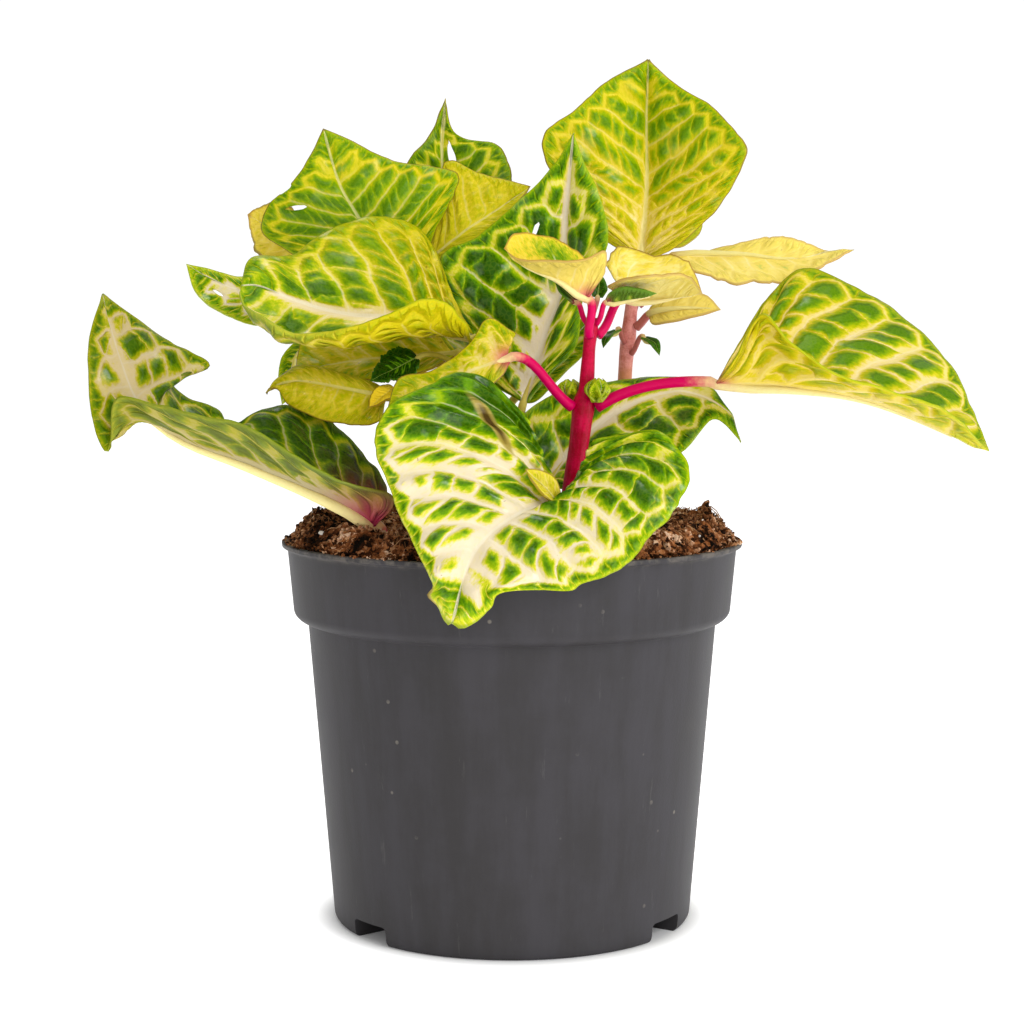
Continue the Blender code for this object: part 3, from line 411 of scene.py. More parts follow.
class Blade:
    """One leaf's fine blade: a veined upper sheet, an underside and a rim, with values that the material reads."""

    def __init__(self, leaf):
        self.leaf = leaf
        small = SMALL_LOOK if leaf.midrib.marks[-1] < 20 * MM else {}
        self.look = {**PLAIN_LOOK, **small, **LOOKS.get(leaf.name, {})}
        self.seed = sum(ord(c) for c in leaf.name) * 0.37
        self.length = leaf.midrib.marks[-1] / MM
        self.pitch = self.length / self.look["pairs"]
        half = sum((side[-1].at(0.4) - leaf.midrib.at(0.4)).length for side in (leaf.left, leaf.right)) / 2
        self.arch = min(max(half / MM / self.length, 0.1), 0.6)

    def make(self):
        columns, rows = self.look["grid"]
        bm = bmesh.new()
        names = ("across", "share", "phase", "pitch", "rib", "edge", "green", "gold", "calm", "scar", "blush", "ridge",
                 "cell", "dull", "under")
        layers = {n: bm.verts.layers.float.new(n) for n in names}
        upward = bm.verts.layers.float_vector.new("upward")
        bmesh.ops.create_grid(bm, x_segments=columns, y_segments=rows, size=1.0)
        root = self.leaf.midrib.at(0.0)
        for v in bm.verts:
            across = 0.5 * v.co.x + 0.5 * math.sin(v.co.x * math.pi / 2)
            along = (v.co.y + 1.0) / 2.0 * 0.9985
            self.mark(v, layers, across, along)
            v.co = blade_point(self.leaf, across * self.margin(across, along), along)
            if is_red(self.leaf):
                v[layers["blush"]] = 0.9 * math.exp(-((v.co - root).length / MM / self.look["blush"]) ** 2)
        self.cut_holes(bm, layers)
        bm.normal_update()
        for v in bm.verts:
            v.co += v.normal * self.relief(v, layers) * self.taper(v, layers) * MM
        bm.normal_update()
        for v in bm.verts:
            v[upward] = v.normal
        made = bmesh.ops.extrude_face_region(bm, geom=bm.faces[:], use_keep_orig=True)["geom"]
        for v in [e for e in made if isinstance(e, bmesh.types.BMVert)]:
            v.co -= v[upward] * BLADE_THICKNESS * self.taper(v, layers) * MM
            v[layers["under"]] = 1.0
        bmesh.ops.recalc_face_normals(bm, faces=bm.faces)
        for face in bm.faces:
            face.smooth = True
        mesh = bpy.data.meshes.new(self.leaf.name)
        bm.to_mesh(mesh)
        bm.free()
        return mesh

    def margin(self, across, along):
        """How far the margin stands out from the CAD's own there: nicks, lobes, and a blunt tip."""
        nick = noise.noise(Vector((math.copysign(7, across), along * 13, self.seed)))
        nick += 0.5 * noise.noise(Vector((math.copysign(3, across), along * 34, self.seed)))
        lobes = self.spread(self.look["lobes"], math.copysign(1, across), along)
        blunt = self.look["blunt"]
        return (1 + self.look["ragged"] * nick + lobes) * max(blunt / (1.004 - along), 1.0) ** 0.45

    def spread(self, patches, across, along):
        return sum(amount * math.exp(-((across - x) / wide) ** 2 - ((along - y) / tall) ** 2)
                   for x, y, wide, tall, amount in patches)

    def mark(self, v, layers, across, along):
        """Keeps at each place its vein phase, millimetres to the midrib and margin, and how green or gold it is."""
        leaf, look = self.leaf, self.look
        reach, turn = abs(across), 1 if across >= 0 else -1
        rails = leaf.right if turn > 0 else leaf.left
        spots = [rails[0].at(along ** leaf.rib)] + [rail.at(along) for rail in rails[1:]]
        width = sum((b - a).length for a, b in zip(spots, spots[1:])) / MM
        phase = look["pairs"] * (along - self.arch * reach ** 1.3 * (1 - along)) + (0.4 if turn > 0 else 0.0)
        phase += 0.16 * noise.noise(Vector((across * 3, along * 6, self.seed)))
        values = dict(across=across, share=along, phase=phase + 20.0 + int(self.seed), pitch=self.pitch,
                      rib=width * reach, edge=min(width * (1 - reach), (1 - along) * self.length * 0.5))
        values["green"] = (look["green"] + self.spread(look["greens"], across, along)
                           + 0.12 * noise.noise(Vector((across * 2.2, along * 4, self.seed + 5))))
        values["gold"] = min(max(look["gold"] + self.spread(look["golds"], across, along)
                                 + 0.15 * noise.noise(Vector((across * 1.6, along * 3, self.seed + 9))), 0.0), 1.0)
        values["calm"] = min(look["calm"] + self.spread(look["calms"], across, along), 1.0)
        values["ridge"] = min(max(self.length / 50, 0.3), 1.0) * (1.15 - along)
        values["cell"] = look["cell"]
        values["dull"] = look["dull"]
        values["scar"] = self.spread(look["scars"], across, along)
        for name, value in values.items():
            v[layers[name]] = value

    def cut_holes(self, bm, layers):
        """Opens the holes, then draws the places round each one onto a smooth, slightly ragged outline."""
        side, share = layers["across"], layers["share"]
        for x, y, wide, tall in self.look["holes"]:
            gone = []
            for face in bm.faces:
                across = sum(v[side] for v in face.verts) / len(face.verts)
                along = sum(v[share] for v in face.verts) / len(face.verts)
                if math.hypot((across - x) / wide, (along - y) / tall) < 1:
                    gone.append(face)
            around = {v for face in gone for v in face.verts}
            bmesh.ops.delete(bm, geom=gone, context="FACES")
            for v in around:
                if not v.is_valid or abs(v[side]) > 0.999:
                    continue
                out = Vector(((v[side] - x) / wide, (v[share] - y) / tall, 0)).normalized()
                out *= 1 + 0.3 * noise.noise(out * 1.5 + Vector((0, 0, self.seed)))
                across, along = min(max(x + out.x * wide, -1.0), 1.0), y + out.y * tall
                self.mark(v, layers, across, along)
                v.co = blade_point(self.leaf, across * self.margin(across, along), along)

    def taper(self, v, layers):
        """1 on the blade, falling to a tenth at the very tip, where the rows crowd together."""
        return 0.1 + 0.9 * smooth_step(0.0, 3.0, (1 - v[layers["share"]]) * self.length)

    def relief(self, v, layers):
        """Millimetres to lift a place: veins sink, the cells between them puff, the margin waves."""
        rib, edge, along = v[layers["rib"]], v[layers["edge"]], v[layers["share"]]
        near = abs((v[layers["phase"]] + 0.5) % 1.0 - 0.5) * self.pitch
        rise = -0.3 * math.exp(-(rib / 1.0) ** 2)
        puff = self.look["puff"] * (smooth_step(0, 3.2, near) - 0.4)
        rise += puff * smooth_step(0, 5, rib) * smooth_step(0, 3.5, edge)
        rise += 0.3 * noise.noise(v.co * 260 + Vector((self.seed, 0, 0)))
        wave = self.look["wave"] * noise.noise(v.co * 75 + Vector((0, self.seed, 0)))
        return rise + wave * (1 - smooth_step(0, 9, edge)) * smooth_step(0.0, 0.12, along) * smooth_step(0.0, 0.2, 1 - along)


def build_leaf(leaf):
    """The fine leaf that stands for one CAD leaf: blade in the first material slot, petiole in the second."""
    blade = Blade(leaf).make()
    spots, radii, shares = fine_stalk(leaf)
    petiole = tube("petiole", spots, radii)
    bm = bmesh.new()
    bm.from_mesh(blade)
    share = bm.verts.layers.float["share"]
    old = len(bm.verts)
    bm.from_mesh(petiole)
    bm.verts.ensure_lookup_table()
    for v in bm.verts[old:]:
        v[share] = min(zip(((v.co - spot).length for spot in spots), shares))[1]
        for face in v.link_faces:
            face.material_index = 1
    mesh = bpy.data.meshes.new("fine_" + leaf.name)
    bm.to_mesh(mesh)
    bm.free()
    obj = bpy.data.objects.new("fine_" + leaf.name, mesh)
    bpy.context.scene.collection.objects.link(obj)
    return obj


def join_blades(name, leaves):
    """Several small blades as one piece."""
    bm = bmesh.new()
    for leaf in leaves:
        bm.from_mesh(Blade(leaf).make())
    mesh = bpy.data.meshes.new(name)
    bm.to_mesh(mesh)
    bm.free()
    obj = bpy.data.objects.new(name, mesh)
    bpy.context.scene.collection.objects.link(obj)
    return obj


def bud_leaves(name, x, y, z, spread):
    """A tight tuft of small unopened leaves that close over each other."""
    tuft = []
    for i in range(5):
        a = math.tau * i / 5 + x
        out = Vector((math.cos(a), math.sin(a), 0))
        root = Vector((x, y, z - spread * 0.9)) + out * 0.4
        tip = Vector((x, y, z + spread * 0.7)) + out * spread * (0.1 + 0.08 * i)
        tuft.append(plain_leaf(f"{name}_{i}", root, tip, spread * 0.78, out + Vector((0, 0, 0.3)),
                               sag=-spread * 0.7, cup=-spread * 0.35, dress="leaf_young"))
    return tuft


def paint(code):
    """Linear colour from a screen colour written as six hexadecimal digits."""
    parts = [int(code[i:i + 2], 16) / 255 for i in (0, 2, 4)]
    return (*[c / 12.92 if c <= 0.04045 else ((c + 0.055) / 1.055) ** 2.4 for c in parts], 1.0)


class Nodes:
    """Adds shader nodes to a tree with few words."""

    def __init__(self, tree):
        self.tree = tree

    def add(self, kind, *inputs, **settings):
        node = self.tree.nodes.new("ShaderNode" + kind)
        for key, value in settings.items():
            setattr(node, key, value)
        for socket, value in zip(node.inputs, inputs):
            self.feed(socket, value)
        return node

    def feed(self, socket, value):
        if isinstance(value, bpy.types.NodeSocket):
            self.tree.links.new(value, socket)
        elif value is not None:
            socket.default_value = value

    def maths(self, operation, *inputs, clamp=False):
        return self.add("Math", *inputs, operation=operation, use_clamp=clamp).outputs[0]

    def between(self, value, low, high):
        """0 at low, 1 at high, smooth between."""
        node = self.add("MapRange", value, low, high, 0.0, 1.0, interpolation_type="SMOOTHSTEP")
        return node.outputs[0]

    def mix(self, share, a, b, blend="MIX"):
        node = self.add("Mix", data_type="RGBA", blend_type=blend)
        self.feed(node.inputs[0], share)
        self.feed(node.inputs[6], a)
        self.feed(node.inputs[7], b)
        return node.outputs[2]

    def ramp(self, value, stops):
        node = self.add("ValToRGB", value)
        ramp = node.color_ramp
        while len(ramp.elements) < len(stops):
            ramp.elements.new(0.5)
        for element, (place, colour) in zip(ramp.elements, stops):
            element.position = place
            element.color = paint(colour)
        return node.outputs[0]

    def noise(self, vector, scale, detail=3.0, roughness=0.5):
        node = self.add("TexNoise")
        self.feed(node.inputs["Vector"], vector)
        for name, value in (("Scale", scale), ("Detail", detail), ("Roughness", roughness)):
            self.feed(node.inputs[name], value)
        return node.outputs["Fac"]

    def value(self, name):
        return self.add("Attribute", attribute_name=name).outputs["Fac"]


def new_group(name, inputs, outputs):
    """An empty node group with named inputs and outputs, given as (name, socket kind, default)."""
    group = bpy.data.node_groups.new(name, "ShaderNodeTree")
    for label, kind, default in inputs:
        socket = group.interface.new_socket(label, in_out="INPUT", socket_type="NodeSocket" + kind)
        if default is not None:
            socket.default_value = default
    for label, kind in outputs:
        group.interface.new_socket(label, in_out="OUTPUT", socket_type="NodeSocket" + kind)
    make = Nodes(group)
    return group, make, make.add, group.nodes.new("NodeGroupInput").outputs, group.nodes.new("NodeGroupOutput").inputs


def leaf_markings():
    """The veins' net: side veins, their loops near the margin, and thin cross veins, with green cells between.

    Tone runs from 0 on a vein to 1 in the middle of a green cell. Everything is in millimetres on the blade.
    """
    group, make, add, given, out = new_group(
        "leaf_markings",
        [("Phase", "Float", 0.0), ("Pitch", "Float", 9.0), ("Rib", "Float", 0.0), ("Edge", "Float", 0.0),
         ("Green", "Float", 0.0), ("Calm", "Float", 0.0), ("Ridge", "Float", 1.0), ("Rim", "Float", 0.45), ("Cell", "Float", 4.5), ("Softness", "Float", 2.4),
         ("Loop", "Float", 4.2)],
        [("Tone", "Float"), ("Net", "Float"), ("Line", "Float"), ("Brown", "Float")])
    maths, between = make.maths, make.between
    green = given["Green"]
    place = add("CombineXYZ", maths("MULTIPLY", given["Phase"], given["Pitch"]), given["Rib"], 0.0).outputs[0]
    wobble = maths("SUBTRACT", make.noise(place, 0.16, 2.0), 0.5)
    ragged = maths("SUBTRACT", make.noise(place, 1.0, 4.0, 0.6), 0.5)
    shifted = maths("ADD", given["Phase"], maths("MULTIPLY", wobble, 0.35))
    swing = maths("MULTIPLY", maths("PINGPONG", shifted, 0.5), 2.0)
    side = maths("MULTIPLY", swing, maths("MULTIPLY", given["Pitch"], 0.5))
    bare = maths("SUBTRACT", 0.5, maths("MULTIPLY", green, 1.5))
    loop = maths("MULTIPLY", given["Loop"], maths("SUBTRACT", 1.35, maths("MULTIPLY", swing, 0.7)))
    beyond = maths("SUBTRACT", given["Edge"], loop)
    row = maths("FLOOR", shifted)
    lean = maths("MULTIPLY", maths("SINE", maths("MULTIPLY", row, 2.3)), maths("SUBTRACT", maths("FRACT", shifted), 0.5))
    bent = maths("ADD", maths("MULTIPLY", wobble, 4.0), maths("MULTIPLY", lean, 4.5))
    step = maths("ADD", maths("DIVIDE", maths("ADD", given["Rib"], bent), given["Cell"]), maths("MULTIPLY", row, 7.3))
    cross = add("TexVoronoi", feature="DISTANCE_TO_EDGE", voronoi_dimensions="1D")
    lot = add("TexVoronoi", feature="F1", voronoi_dimensions="1D")
    for node in (cross, lot):
        make.feed(node.inputs["W"], step)
        make.feed(node.inputs["Scale"], 1.0)
        make.feed(node.inputs["Randomness"], 0.75)
    luck = maths("MULTIPLY", maths("SUBTRACT", add("SeparateColor", lot.outputs["Color"]).outputs[0], 0.5),
                 maths("SUBTRACT", 1.6, maths("MULTIPLY", green, 2.0)))
    from_side = maths("SUBTRACT", side, bare)
    from_rib = maths("SUBTRACT", given["Rib"], maths("MULTIPLY", bare, 1.8))
    from_loop = maths("SUBTRACT", maths("ABSOLUTE", beyond), 0.4)
    from_cross = maths("ADD", maths("MULTIPLY", cross.outputs["Distance"], maths("MULTIPLY", given["Cell"], 1.4)),
                       maths("ADD", 0.15, maths("MULTIPLY", green, 1.8)))
    inner = maths("SMOOTH_MIN", maths("SMOOTH_MIN", from_side, from_rib, 1.2),
                  maths("SMOOTH_MIN", from_loop, from_cross, 1.0), 1.6)
    inner = maths("ADD", inner, luck)
    twigs = maths("MULTIPLY", maths("PINGPONG", maths("MULTIPLY", shifted, 3.0), 0.5), given["Pitch"])
    outer = maths("SMOOTH_MIN", from_loop, maths("ADD", maths("MULTIPLY", twigs, 0.8), 0.7), 0.6)
    outer = maths("MINIMUM", outer, maths("ADD", 0.6, maths("MULTIPLY", given["Edge"], 0.7)))
    choose = add("Mix", data_type="FLOAT")
    for i, value in ((0, between(beyond, -0.3, 0.3)), (2, outer), (3, inner)):
        make.feed(choose.inputs[i], value)
    puffed = maths("DIVIDE", choose.outputs[0], maths("ADD", given["Softness"], 0.4), clamp=True)
    far = maths("ADD", choose.outputs[0], maths("MULTIPLY", ragged, 1.5))
    tone = maths("DIVIDE", far, given["Softness"], clamp=True)
    base = maths("MULTIPLY", maths("ADD", green, 0.1), 0.55, clamp=True)
    tone = maths("ADD", maths("MULTIPLY", tone, maths("SUBTRACT", 1.0, maths("MULTIPLY", base, 0.6))), base)
    calm = add("Mix", data_type="FLOAT")
    for i, value in ((0, given["Calm"]), (2, tone), (3, maths("ADD", maths("ADD", 0.35, maths("MULTIPLY", green, 0.8)),
                                                                    maths("MULTIPLY", ragged, 0.5)))):
        make.feed(calm.inputs[i], value)
    make.feed(out["Tone"], maths("ADD", calm.outputs[0], maths("MULTIPLY", ragged, 0.35), clamp=True))
    make.feed(out["Net"], puffed)
    ridge = maths("SUBTRACT", 1.0, between(given["Rib"], maths("MULTIPLY", given["Ridge"], 0.5), given["Ridge"]))
    thread = maths("MULTIPLY", maths("SUBTRACT", 1.0, between(side, 0.1, 0.4)), between(beyond, -0.5, 1.0))
    make.feed(out["Line"], maths("MAXIMUM", ridge, maths("MULTIPLY", thread, 0.5)))
    make.feed(out["Brown"], maths("SUBTRACT", 1.0, between(given["Edge"], 0.1, given["Rim"])))
    return group


def blank(name):
    material = bpy.data.materials.new(name)
    material.use_nodes = True
    return material, Nodes(material.node_tree), material.node_tree.nodes["Principled BSDF"].inputs


def blade_material(name, markings, fresh, aged, below, below_share, edge, softness=2.6, rim=0.45, rough=0.24,
                   depth=0.0016, line="EADFC2", shine=1.0):
    """A blade's skin: fresh colours give way to aged ones by the blade's gold value; the underside is paler."""
    material, make, shader = blank(name)
    field = make.add("Group")
    field.node_tree = markings
    for label in ("Phase", "Pitch", "Rib", "Edge", "Green", "Calm", "Ridge", "Cell"):
        make.feed(field.inputs[label], make.value(label.lower()))
    make.feed(field.inputs["Rim"], rim)
    make.feed(field.inputs["Softness"], softness)
    tone = field.outputs["Tone"]
    top = make.mix(make.value("gold"), make.ramp(tone, fresh), make.ramp(tone, aged))
    drawn = make.maths("SUBTRACT", 0.8, make.maths("MULTIPLY", make.value("gold"), 0.4))
    top = make.mix(make.maths("MULTIPLY", field.outputs["Line"], drawn), top, paint(line))
    top = make.mix(make.maths("MULTIPLY", field.outputs["Brown"], 0.75), top, paint(edge))
    place = make.add("TexCoord").outputs["Object"]
    fine = make.add("TexVoronoi", feature="DISTANCE_TO_EDGE")
    make.feed(fine.inputs["Vector"], place)
    make.feed(fine.inputs["Scale"], 850.0)
    threads = make.maths("SUBTRACT", 1.0, make.between(fine.outputs["Distance"], 0.02, 0.22))
    top = make.mix(make.maths("MULTIPLY", make.maths("MULTIPLY", threads, tone), 0.08), top, paint("A4C030"))
    spots = make.noise(place, 700.0, 2.0)
    top = make.mix(make.maths("MULTIPLY", make.between(spots, 0.73, 0.78), 0.5), top, paint("7A5A20"))
    scar = make.value("scar")
    top = make.mix(make.between(scar, 0.25, 0.6), top, make.ramp(scar, SCAR))
    wan = make.mix(make.value("gold"), paint(below[0]), paint(below[1]))
    below = make.mix(below_share, top, wan)
    skin = make.mix(make.value("under"), top, below)
    # Painted shade: a blade's darkening value multiplies its skin by a light grey, darkening a blade that gets less
    # light.
    skin = make.mix(make.value("dull"), skin, paint("D2CEC8"), "MULTIPLY")
    make.feed(shader["Base Color"], make.mix(make.value("blush"), skin, paint("C0185C")))
    grain = make.noise(place, 1600.0, 3.0)
    bump = make.add("Bump")
    make.feed(bump.inputs["Strength"], 0.8)
    make.feed(bump.inputs["Distance"], depth)
    make.feed(bump.inputs["Height"], make.maths("ADD", field.outputs["Net"], make.maths("MULTIPLY", grain, 0.1)))
    make.feed(shader["Normal"], bump.outputs[0])
    glint = make.maths("MULTIPLY", make.between(make.noise(place, 150.0, 3.0), 0.56, 0.66), make.maths("SUBTRACT", 1.0, make.value("under")))
    make.feed(shader["Coat Weight"], make.maths("MULTIPLY", glint, shine))
    shader["Coat Roughness"].default_value = 0.22
    shader["Roughness"].default_value = rough
    shader["Specular IOR Level"].default_value = 0.08
    return material


def petiole_material(name, base, tip):
    """Coloured at the stem, turning to the blade's own pale rib colour where it meets it."""
    material, make, shader = blank(name)
    share = make.value("share")
    place = make.add("TexCoord").outputs["Object"]
    fleck = make.noise(place, 900.0, 4.0)
    turn = make.between(make.maths("ADD", share, make.maths("MULTIPLY", fleck, 0.25)), 0.85, 1.25)
    colour = make.mix(turn, paint(base), paint(tip))
    colour = make.mix(make.maths("MULTIPLY", fleck, 0.35), colour, paint(tip), "MULTIPLY")
    make.feed(shader["Base Color"], colour)
    bump = make.add("Bump")
    make.feed(bump.inputs["Strength"], 0.3)
    make.feed(bump.inputs["Distance"], 0.0003)
    make.feed(bump.inputs["Height"], fleck)
    make.feed(shader["Normal"], bump.outputs[0])
    shader["Roughness"].default_value = 0.3
    shader["Specular IOR Level"].default_value = 0.12
    return material


FRESH = [(0.0, "E3D4B4"), (0.14, "E4D68A"), (0.3, "D4CF28"), (0.48, "98B402"), (0.7, "5C8E00"), (1.0, "2E5A00")]
AGED = [(0.0, "EAD078"), (0.22, "DAC426"), (0.48, "BCB400"), (0.75, "8CA600"), (1.0, "5E8800")]
PALE = [(0.0, "F8EA98"), (0.35, "F4DA58"), (0.6, "E8CE34"), (0.8, "A8B814"), (1.0, "5E9008")]
YOUNG = [(0.0, "B0C038"), (0.3, "6C9C10"), (0.6, "306A04"), (1.0, "1A4600")]
# The withered flake's ramp: partly its own yellow and partly painted light, brighter than the flake is, to make up for
# the shade it sits in.
WITHERED_PAINTED_LIGHT = [(0.0, "FFDC30"), (1.0, "ECB800")]
SCAR = [(0.25, "BCAE58"), (0.7, "A08C40"), (0.95, "54401A")]


def make_dresses(markings):
    fresh_below, aged_below = "A2A866", "E6CE18"
    variegated = blade_material("blade_variegated", markings, FRESH, AGED, (fresh_below, aged_below), 0.35, "8FA80C")
    lime = blade_material("blade_lime", markings, FRESH, AGED, ("D6C828", aged_below), 0.45, "7A5428", softness=2.4,
                          depth=0.0008, line="E4DA9C", shine=0.5)
    pale = blade_material("blade_pale", markings, PALE, PALE, ("EAD680", "EAD680"), 0.4, "9A5E2A", softness=3.5,
                          rim=0.9, depth=0.0009, line="FAEFC0", shine=0.2)
    young = blade_material("blade_young", markings, YOUNG, YOUNG, ("7A9C38", "7A9C38"), 0.5, "3C6A0A", softness=1.4,
                            line="98B450")
    # Painted light: the withered flake's skin is brighter than its own yellow, to make up for the shade it sits in.
    withered = blade_material("blade_withered", markings, WITHERED_PAINTED_LIGHT, WITHERED_PAINTED_LIGHT, ("F6CC20", "F6CC20"), 0.5, "5A3414",
                              depth=0.0008, line="FFE060", shine=0.0)
    return {"withered": withered, "leaf_mature": variegated, "leaf_lime": lime, "leaf_pale": pale, "leaf_young": young}


def speckled(name, dark, light, rough, scale, bump_depth, bump_strength=0.5, contrast=0.15, gloss=0.3,
             foot=None):
    """A material mottled between two colours, with a fine bump; foot is the colour of its lower part."""
    material, make, shader = blank(name)
    place = make.add("TexCoord").outputs["Object"]
    broad = make.noise(place, scale, 5.0, 0.6)
    fine = make.noise(place, scale * 7, 4.0, 0.6)
    share = make.between(make.maths("ADD", make.maths("MULTIPLY", broad, 0.6), make.maths("MULTIPLY", fine, 0.4)),
                         0.5 - contrast, 0.5 + contrast)
    colour = make.mix(share, paint(dark), paint(light))
    if foot:
        height = make.maths("ADD", make.add("SeparateXYZ", place).outputs[2], make.maths("MULTIPLY", broad, 0.01))
        colour = make.mix(make.between(height, 0.143, 0.153), paint(foot), colour)
    make.feed(shader["Base Color"], colour)
    bump = make.add("Bump")
    make.feed(bump.inputs["Strength"], bump_strength)
    make.feed(bump.inputs["Distance"], bump_depth)
    make.feed(bump.inputs["Height"], fine)
    make.feed(shader["Normal"], bump.outputs[0])
    shader["Roughness"].default_value = rough
    shader["Specular IOR Level"].default_value = gloss
    return material


def peat_material(name, stops):
    """Crumbly peat: every crumb a little different, with broad patches darker where a large-scale noise is low."""
    material, make, shader = blank(name)
    place = make.add("TexCoord").outputs["Object"]
    clod = make.add("TexVoronoi")
    shift = make.add("TexNoise")
    make.feed(shift.inputs["Vector"], place)
    make.feed(shift.inputs["Scale"], 1100.0)
    bent = make.add("VectorMath", shift.outputs["Color"], operation="SCALE")
    make.feed(bent.inputs["Scale"], 0.0016)
    make.feed(clod.inputs["Vector"], make.add("VectorMath", place, bent.outputs[0], operation="ADD").outputs[0])
    make.feed(clod.inputs["Scale"], 750.0)
    each = make.add("SeparateColor", clod.outputs["Color"]).outputs[0]
    fine = make.noise(place, 1400.0, 5.0, 0.7)
    broad_patches = make.noise(place, 90.0, 3.0)
    value = make.maths("ADD", make.maths("MULTIPLY", each, 0.45), make.maths("MULTIPLY", fine, 0.35))
    value = make.maths("ADD", value, make.maths("MULTIPLY", make.maths("SUBTRACT", broad_patches, 0.42), 1.0))
    make.feed(shader["Base Color"], make.ramp(value, stops))
    bump = make.add("Bump")
    make.feed(bump.inputs["Strength"], 1.0)
    make.feed(bump.inputs["Distance"], 0.0006)
    make.feed(bump.inputs["Height"], fine)
    make.feed(shader["Normal"], bump.outputs[0])
    shader["Roughness"].default_value = 0.95
    shader["Specular IOR Level"].default_value = 0.1
    return material


def pot_material():
    """Grey moulded plastic: faint flow marks, fine scuffs, specks, and a lighter band along the lip's top that is
    partly dried dust and partly a painted highlight.
    """
    material, make, shader = blank("pot_plastic")
    place = make.add("TexCoord").outputs["Object"]
    cloud = make.noise(place, 45.0, 5.0, 0.65)
    grain = make.noise(place, 1500.0, 3.0)
    squeeze = make.add("Mapping", place)
    squeeze.inputs["Scale"].default_value = (1.0, 1.0, 0.12)
    streak = make.noise(squeeze.outputs[0], 160.0, 4.0, 0.6)
    tone = make.maths("ADD", make.maths("MULTIPLY", cloud, 0.5), make.maths("MULTIPLY", streak, 0.5))
    colour = make.mix(make.between(tone, 0.36, 0.64), paint("363435"), paint("3D3B3E"))
    specks = make.add("TexVoronoi")
    make.feed(specks.inputs["Vector"], place)
    make.feed(specks.inputs["Scale"], 150.0)
    dot = make.maths("MULTIPLY", make.maths("SUBTRACT", 1.0, make.between(specks.outputs["Distance"], 0.05, 0.1)),
                     make.between(cloud, 0.5, 0.62))
    colour = make.mix(make.maths("MULTIPLY", dot, 0.5), colour, paint("8A8378"))
    scuff = make.between(make.noise(squeeze.outputs[0], 420.0, 5.0, 0.7), 0.62, 0.74)
    colour = make.mix(make.maths("MULTIPLY", scuff, 0.12), colour, paint("77746F"))
    height = make.add("SeparateXYZ", place).outputs[2]
    # Lighter blotches on the lip's top: partly dust and partly a painted highlight where light from above falls on the
    # lip.
    dust_and_highlight = make.maths("MULTIPLY", make.between(height, 0.0965, 0.0992), make.between(make.noise(place, 240.0, 5.0, 0.7), 0.4, 0.62))
    colour = make.mix(make.maths("MULTIPLY", dust_and_highlight, 0.65), colour, paint("6E675E"))
    make.feed(shader["Base Color"], colour)
    make.feed(shader["Roughness"], make.maths("ADD", 0.42, make.maths("MULTIPLY", cloud, 0.2)))
    bump = make.add("Bump")
    make.feed(bump.inputs["Strength"], 0.35)
    make.feed(bump.inputs["Distance"], 0.0001)
    make.feed(bump.inputs["Height"], make.maths("ADD", grain, scuff))
    make.feed(shader["Normal"], bump.outputs[0])
    shader["Specular IOR Level"].default_value = 0.12
    return material


# The pot's profile, from the middle of its floor round the lip to the middle of its base: radius, height and the
# reach of the rounding at that corner
POT_PROFILE = [
    (0, 1.8, 0), (44.5, 1.8, 1.0), (45.9, 4.2, 1.0), (51.7, 78.6, 0.8), (55.2, 81.6, 0.8), (57.0, 97.2, 0.8),
    (58.3, 99.3, 0.4), (60.0, 99.3, 0.3), (59.9, 98.1, 0.3), (58.5, 97.7, 0.5), (56.9, 80.5, 1.2), (55.0, 78.9, 1.0),
    (53.3, 78.6, 0.4), (46.9, 0.9, 1.0), (45.9, 0, 0.6), (0, 0, 0)]
CHANNEL_ANGLES = (-50.0, 56.5, 130.0, -123.5)


def rounded(corners, steps=4):
    """Points of a profile with a small arc at each corner that asks for one."""
    spots = [Vector((r, 0, z)) * MM for r, z, _ in corners]
    points = [spots[0]]
    for before, here, after, (_, _, soft) in zip(spots, spots[1:], spots[2:], corners[1:]):
        first = here + (before - here).normalized() * soft * MM
        last = here + (after - here).normalized() * soft * MM
        for k in range(steps + 1):
            t = k / steps
            points.append(first.lerp(here, t).lerp(here.lerp(last, t), t))
    return points + [spots[-1]]


def turned(points, steps):
    """A closed body turned about the pot's axis."""
    bm = bmesh.new()
    verts = [bm.verts.new(p) for p in points]
    edges = [bm.edges.new(pair) for pair in zip(verts, verts[1:])]
    bmesh.ops.spin(bm, geom=verts + edges, cent=(0, 0, 0), axis=(0, 0, 1), angle=math.tau, steps=steps, use_merge=True)
    bmesh.ops.remove_doubles(bm, verts=bm.verts, dist=0.00001)
    bmesh.ops.recalc_face_normals(bm, faces=bm.faces)
    mesh = bpy.data.meshes.new("turned")
    bm.to_mesh(mesh)
    bm.free()
    return mesh


def radial_box(angle, inner, outer, width, low, high, soft):
    """A box along a radius, measured in degrees from the front towards +X, with its two long upper edges rounded."""
    bm = bmesh.new()
    bmesh.ops.create_cube(bm, size=1.0)
    bmesh.ops.transform(bm, verts=bm.verts, matrix=Matrix.Translation(Vector((0, -(inner + outer) / 2, (low + high) / 2)) * MM)
                        @ Matrix.Diagonal((width * MM, (outer - inner) * MM, (high - low) * MM, 1)))
    long_edges = [e for e in bm.edges if all(v.co.z > (high - 0.1) * MM for v in e.verts)
                  and abs(e.verts[0].co.x - e.verts[1].co.x) < 0.1 * MM]
    bmesh.ops.bevel(bm, geom=long_edges, offset=soft * MM, segments=4, profile=0.5, affect="EDGES", material=-1)
    bmesh.ops.transform(bm, verts=bm.verts, matrix=Matrix.Rotation(math.radians(angle), 4, "Z"))
    mesh = bpy.data.meshes.new("box")
    bm.to_mesh(mesh)
    bm.free()
    return mesh


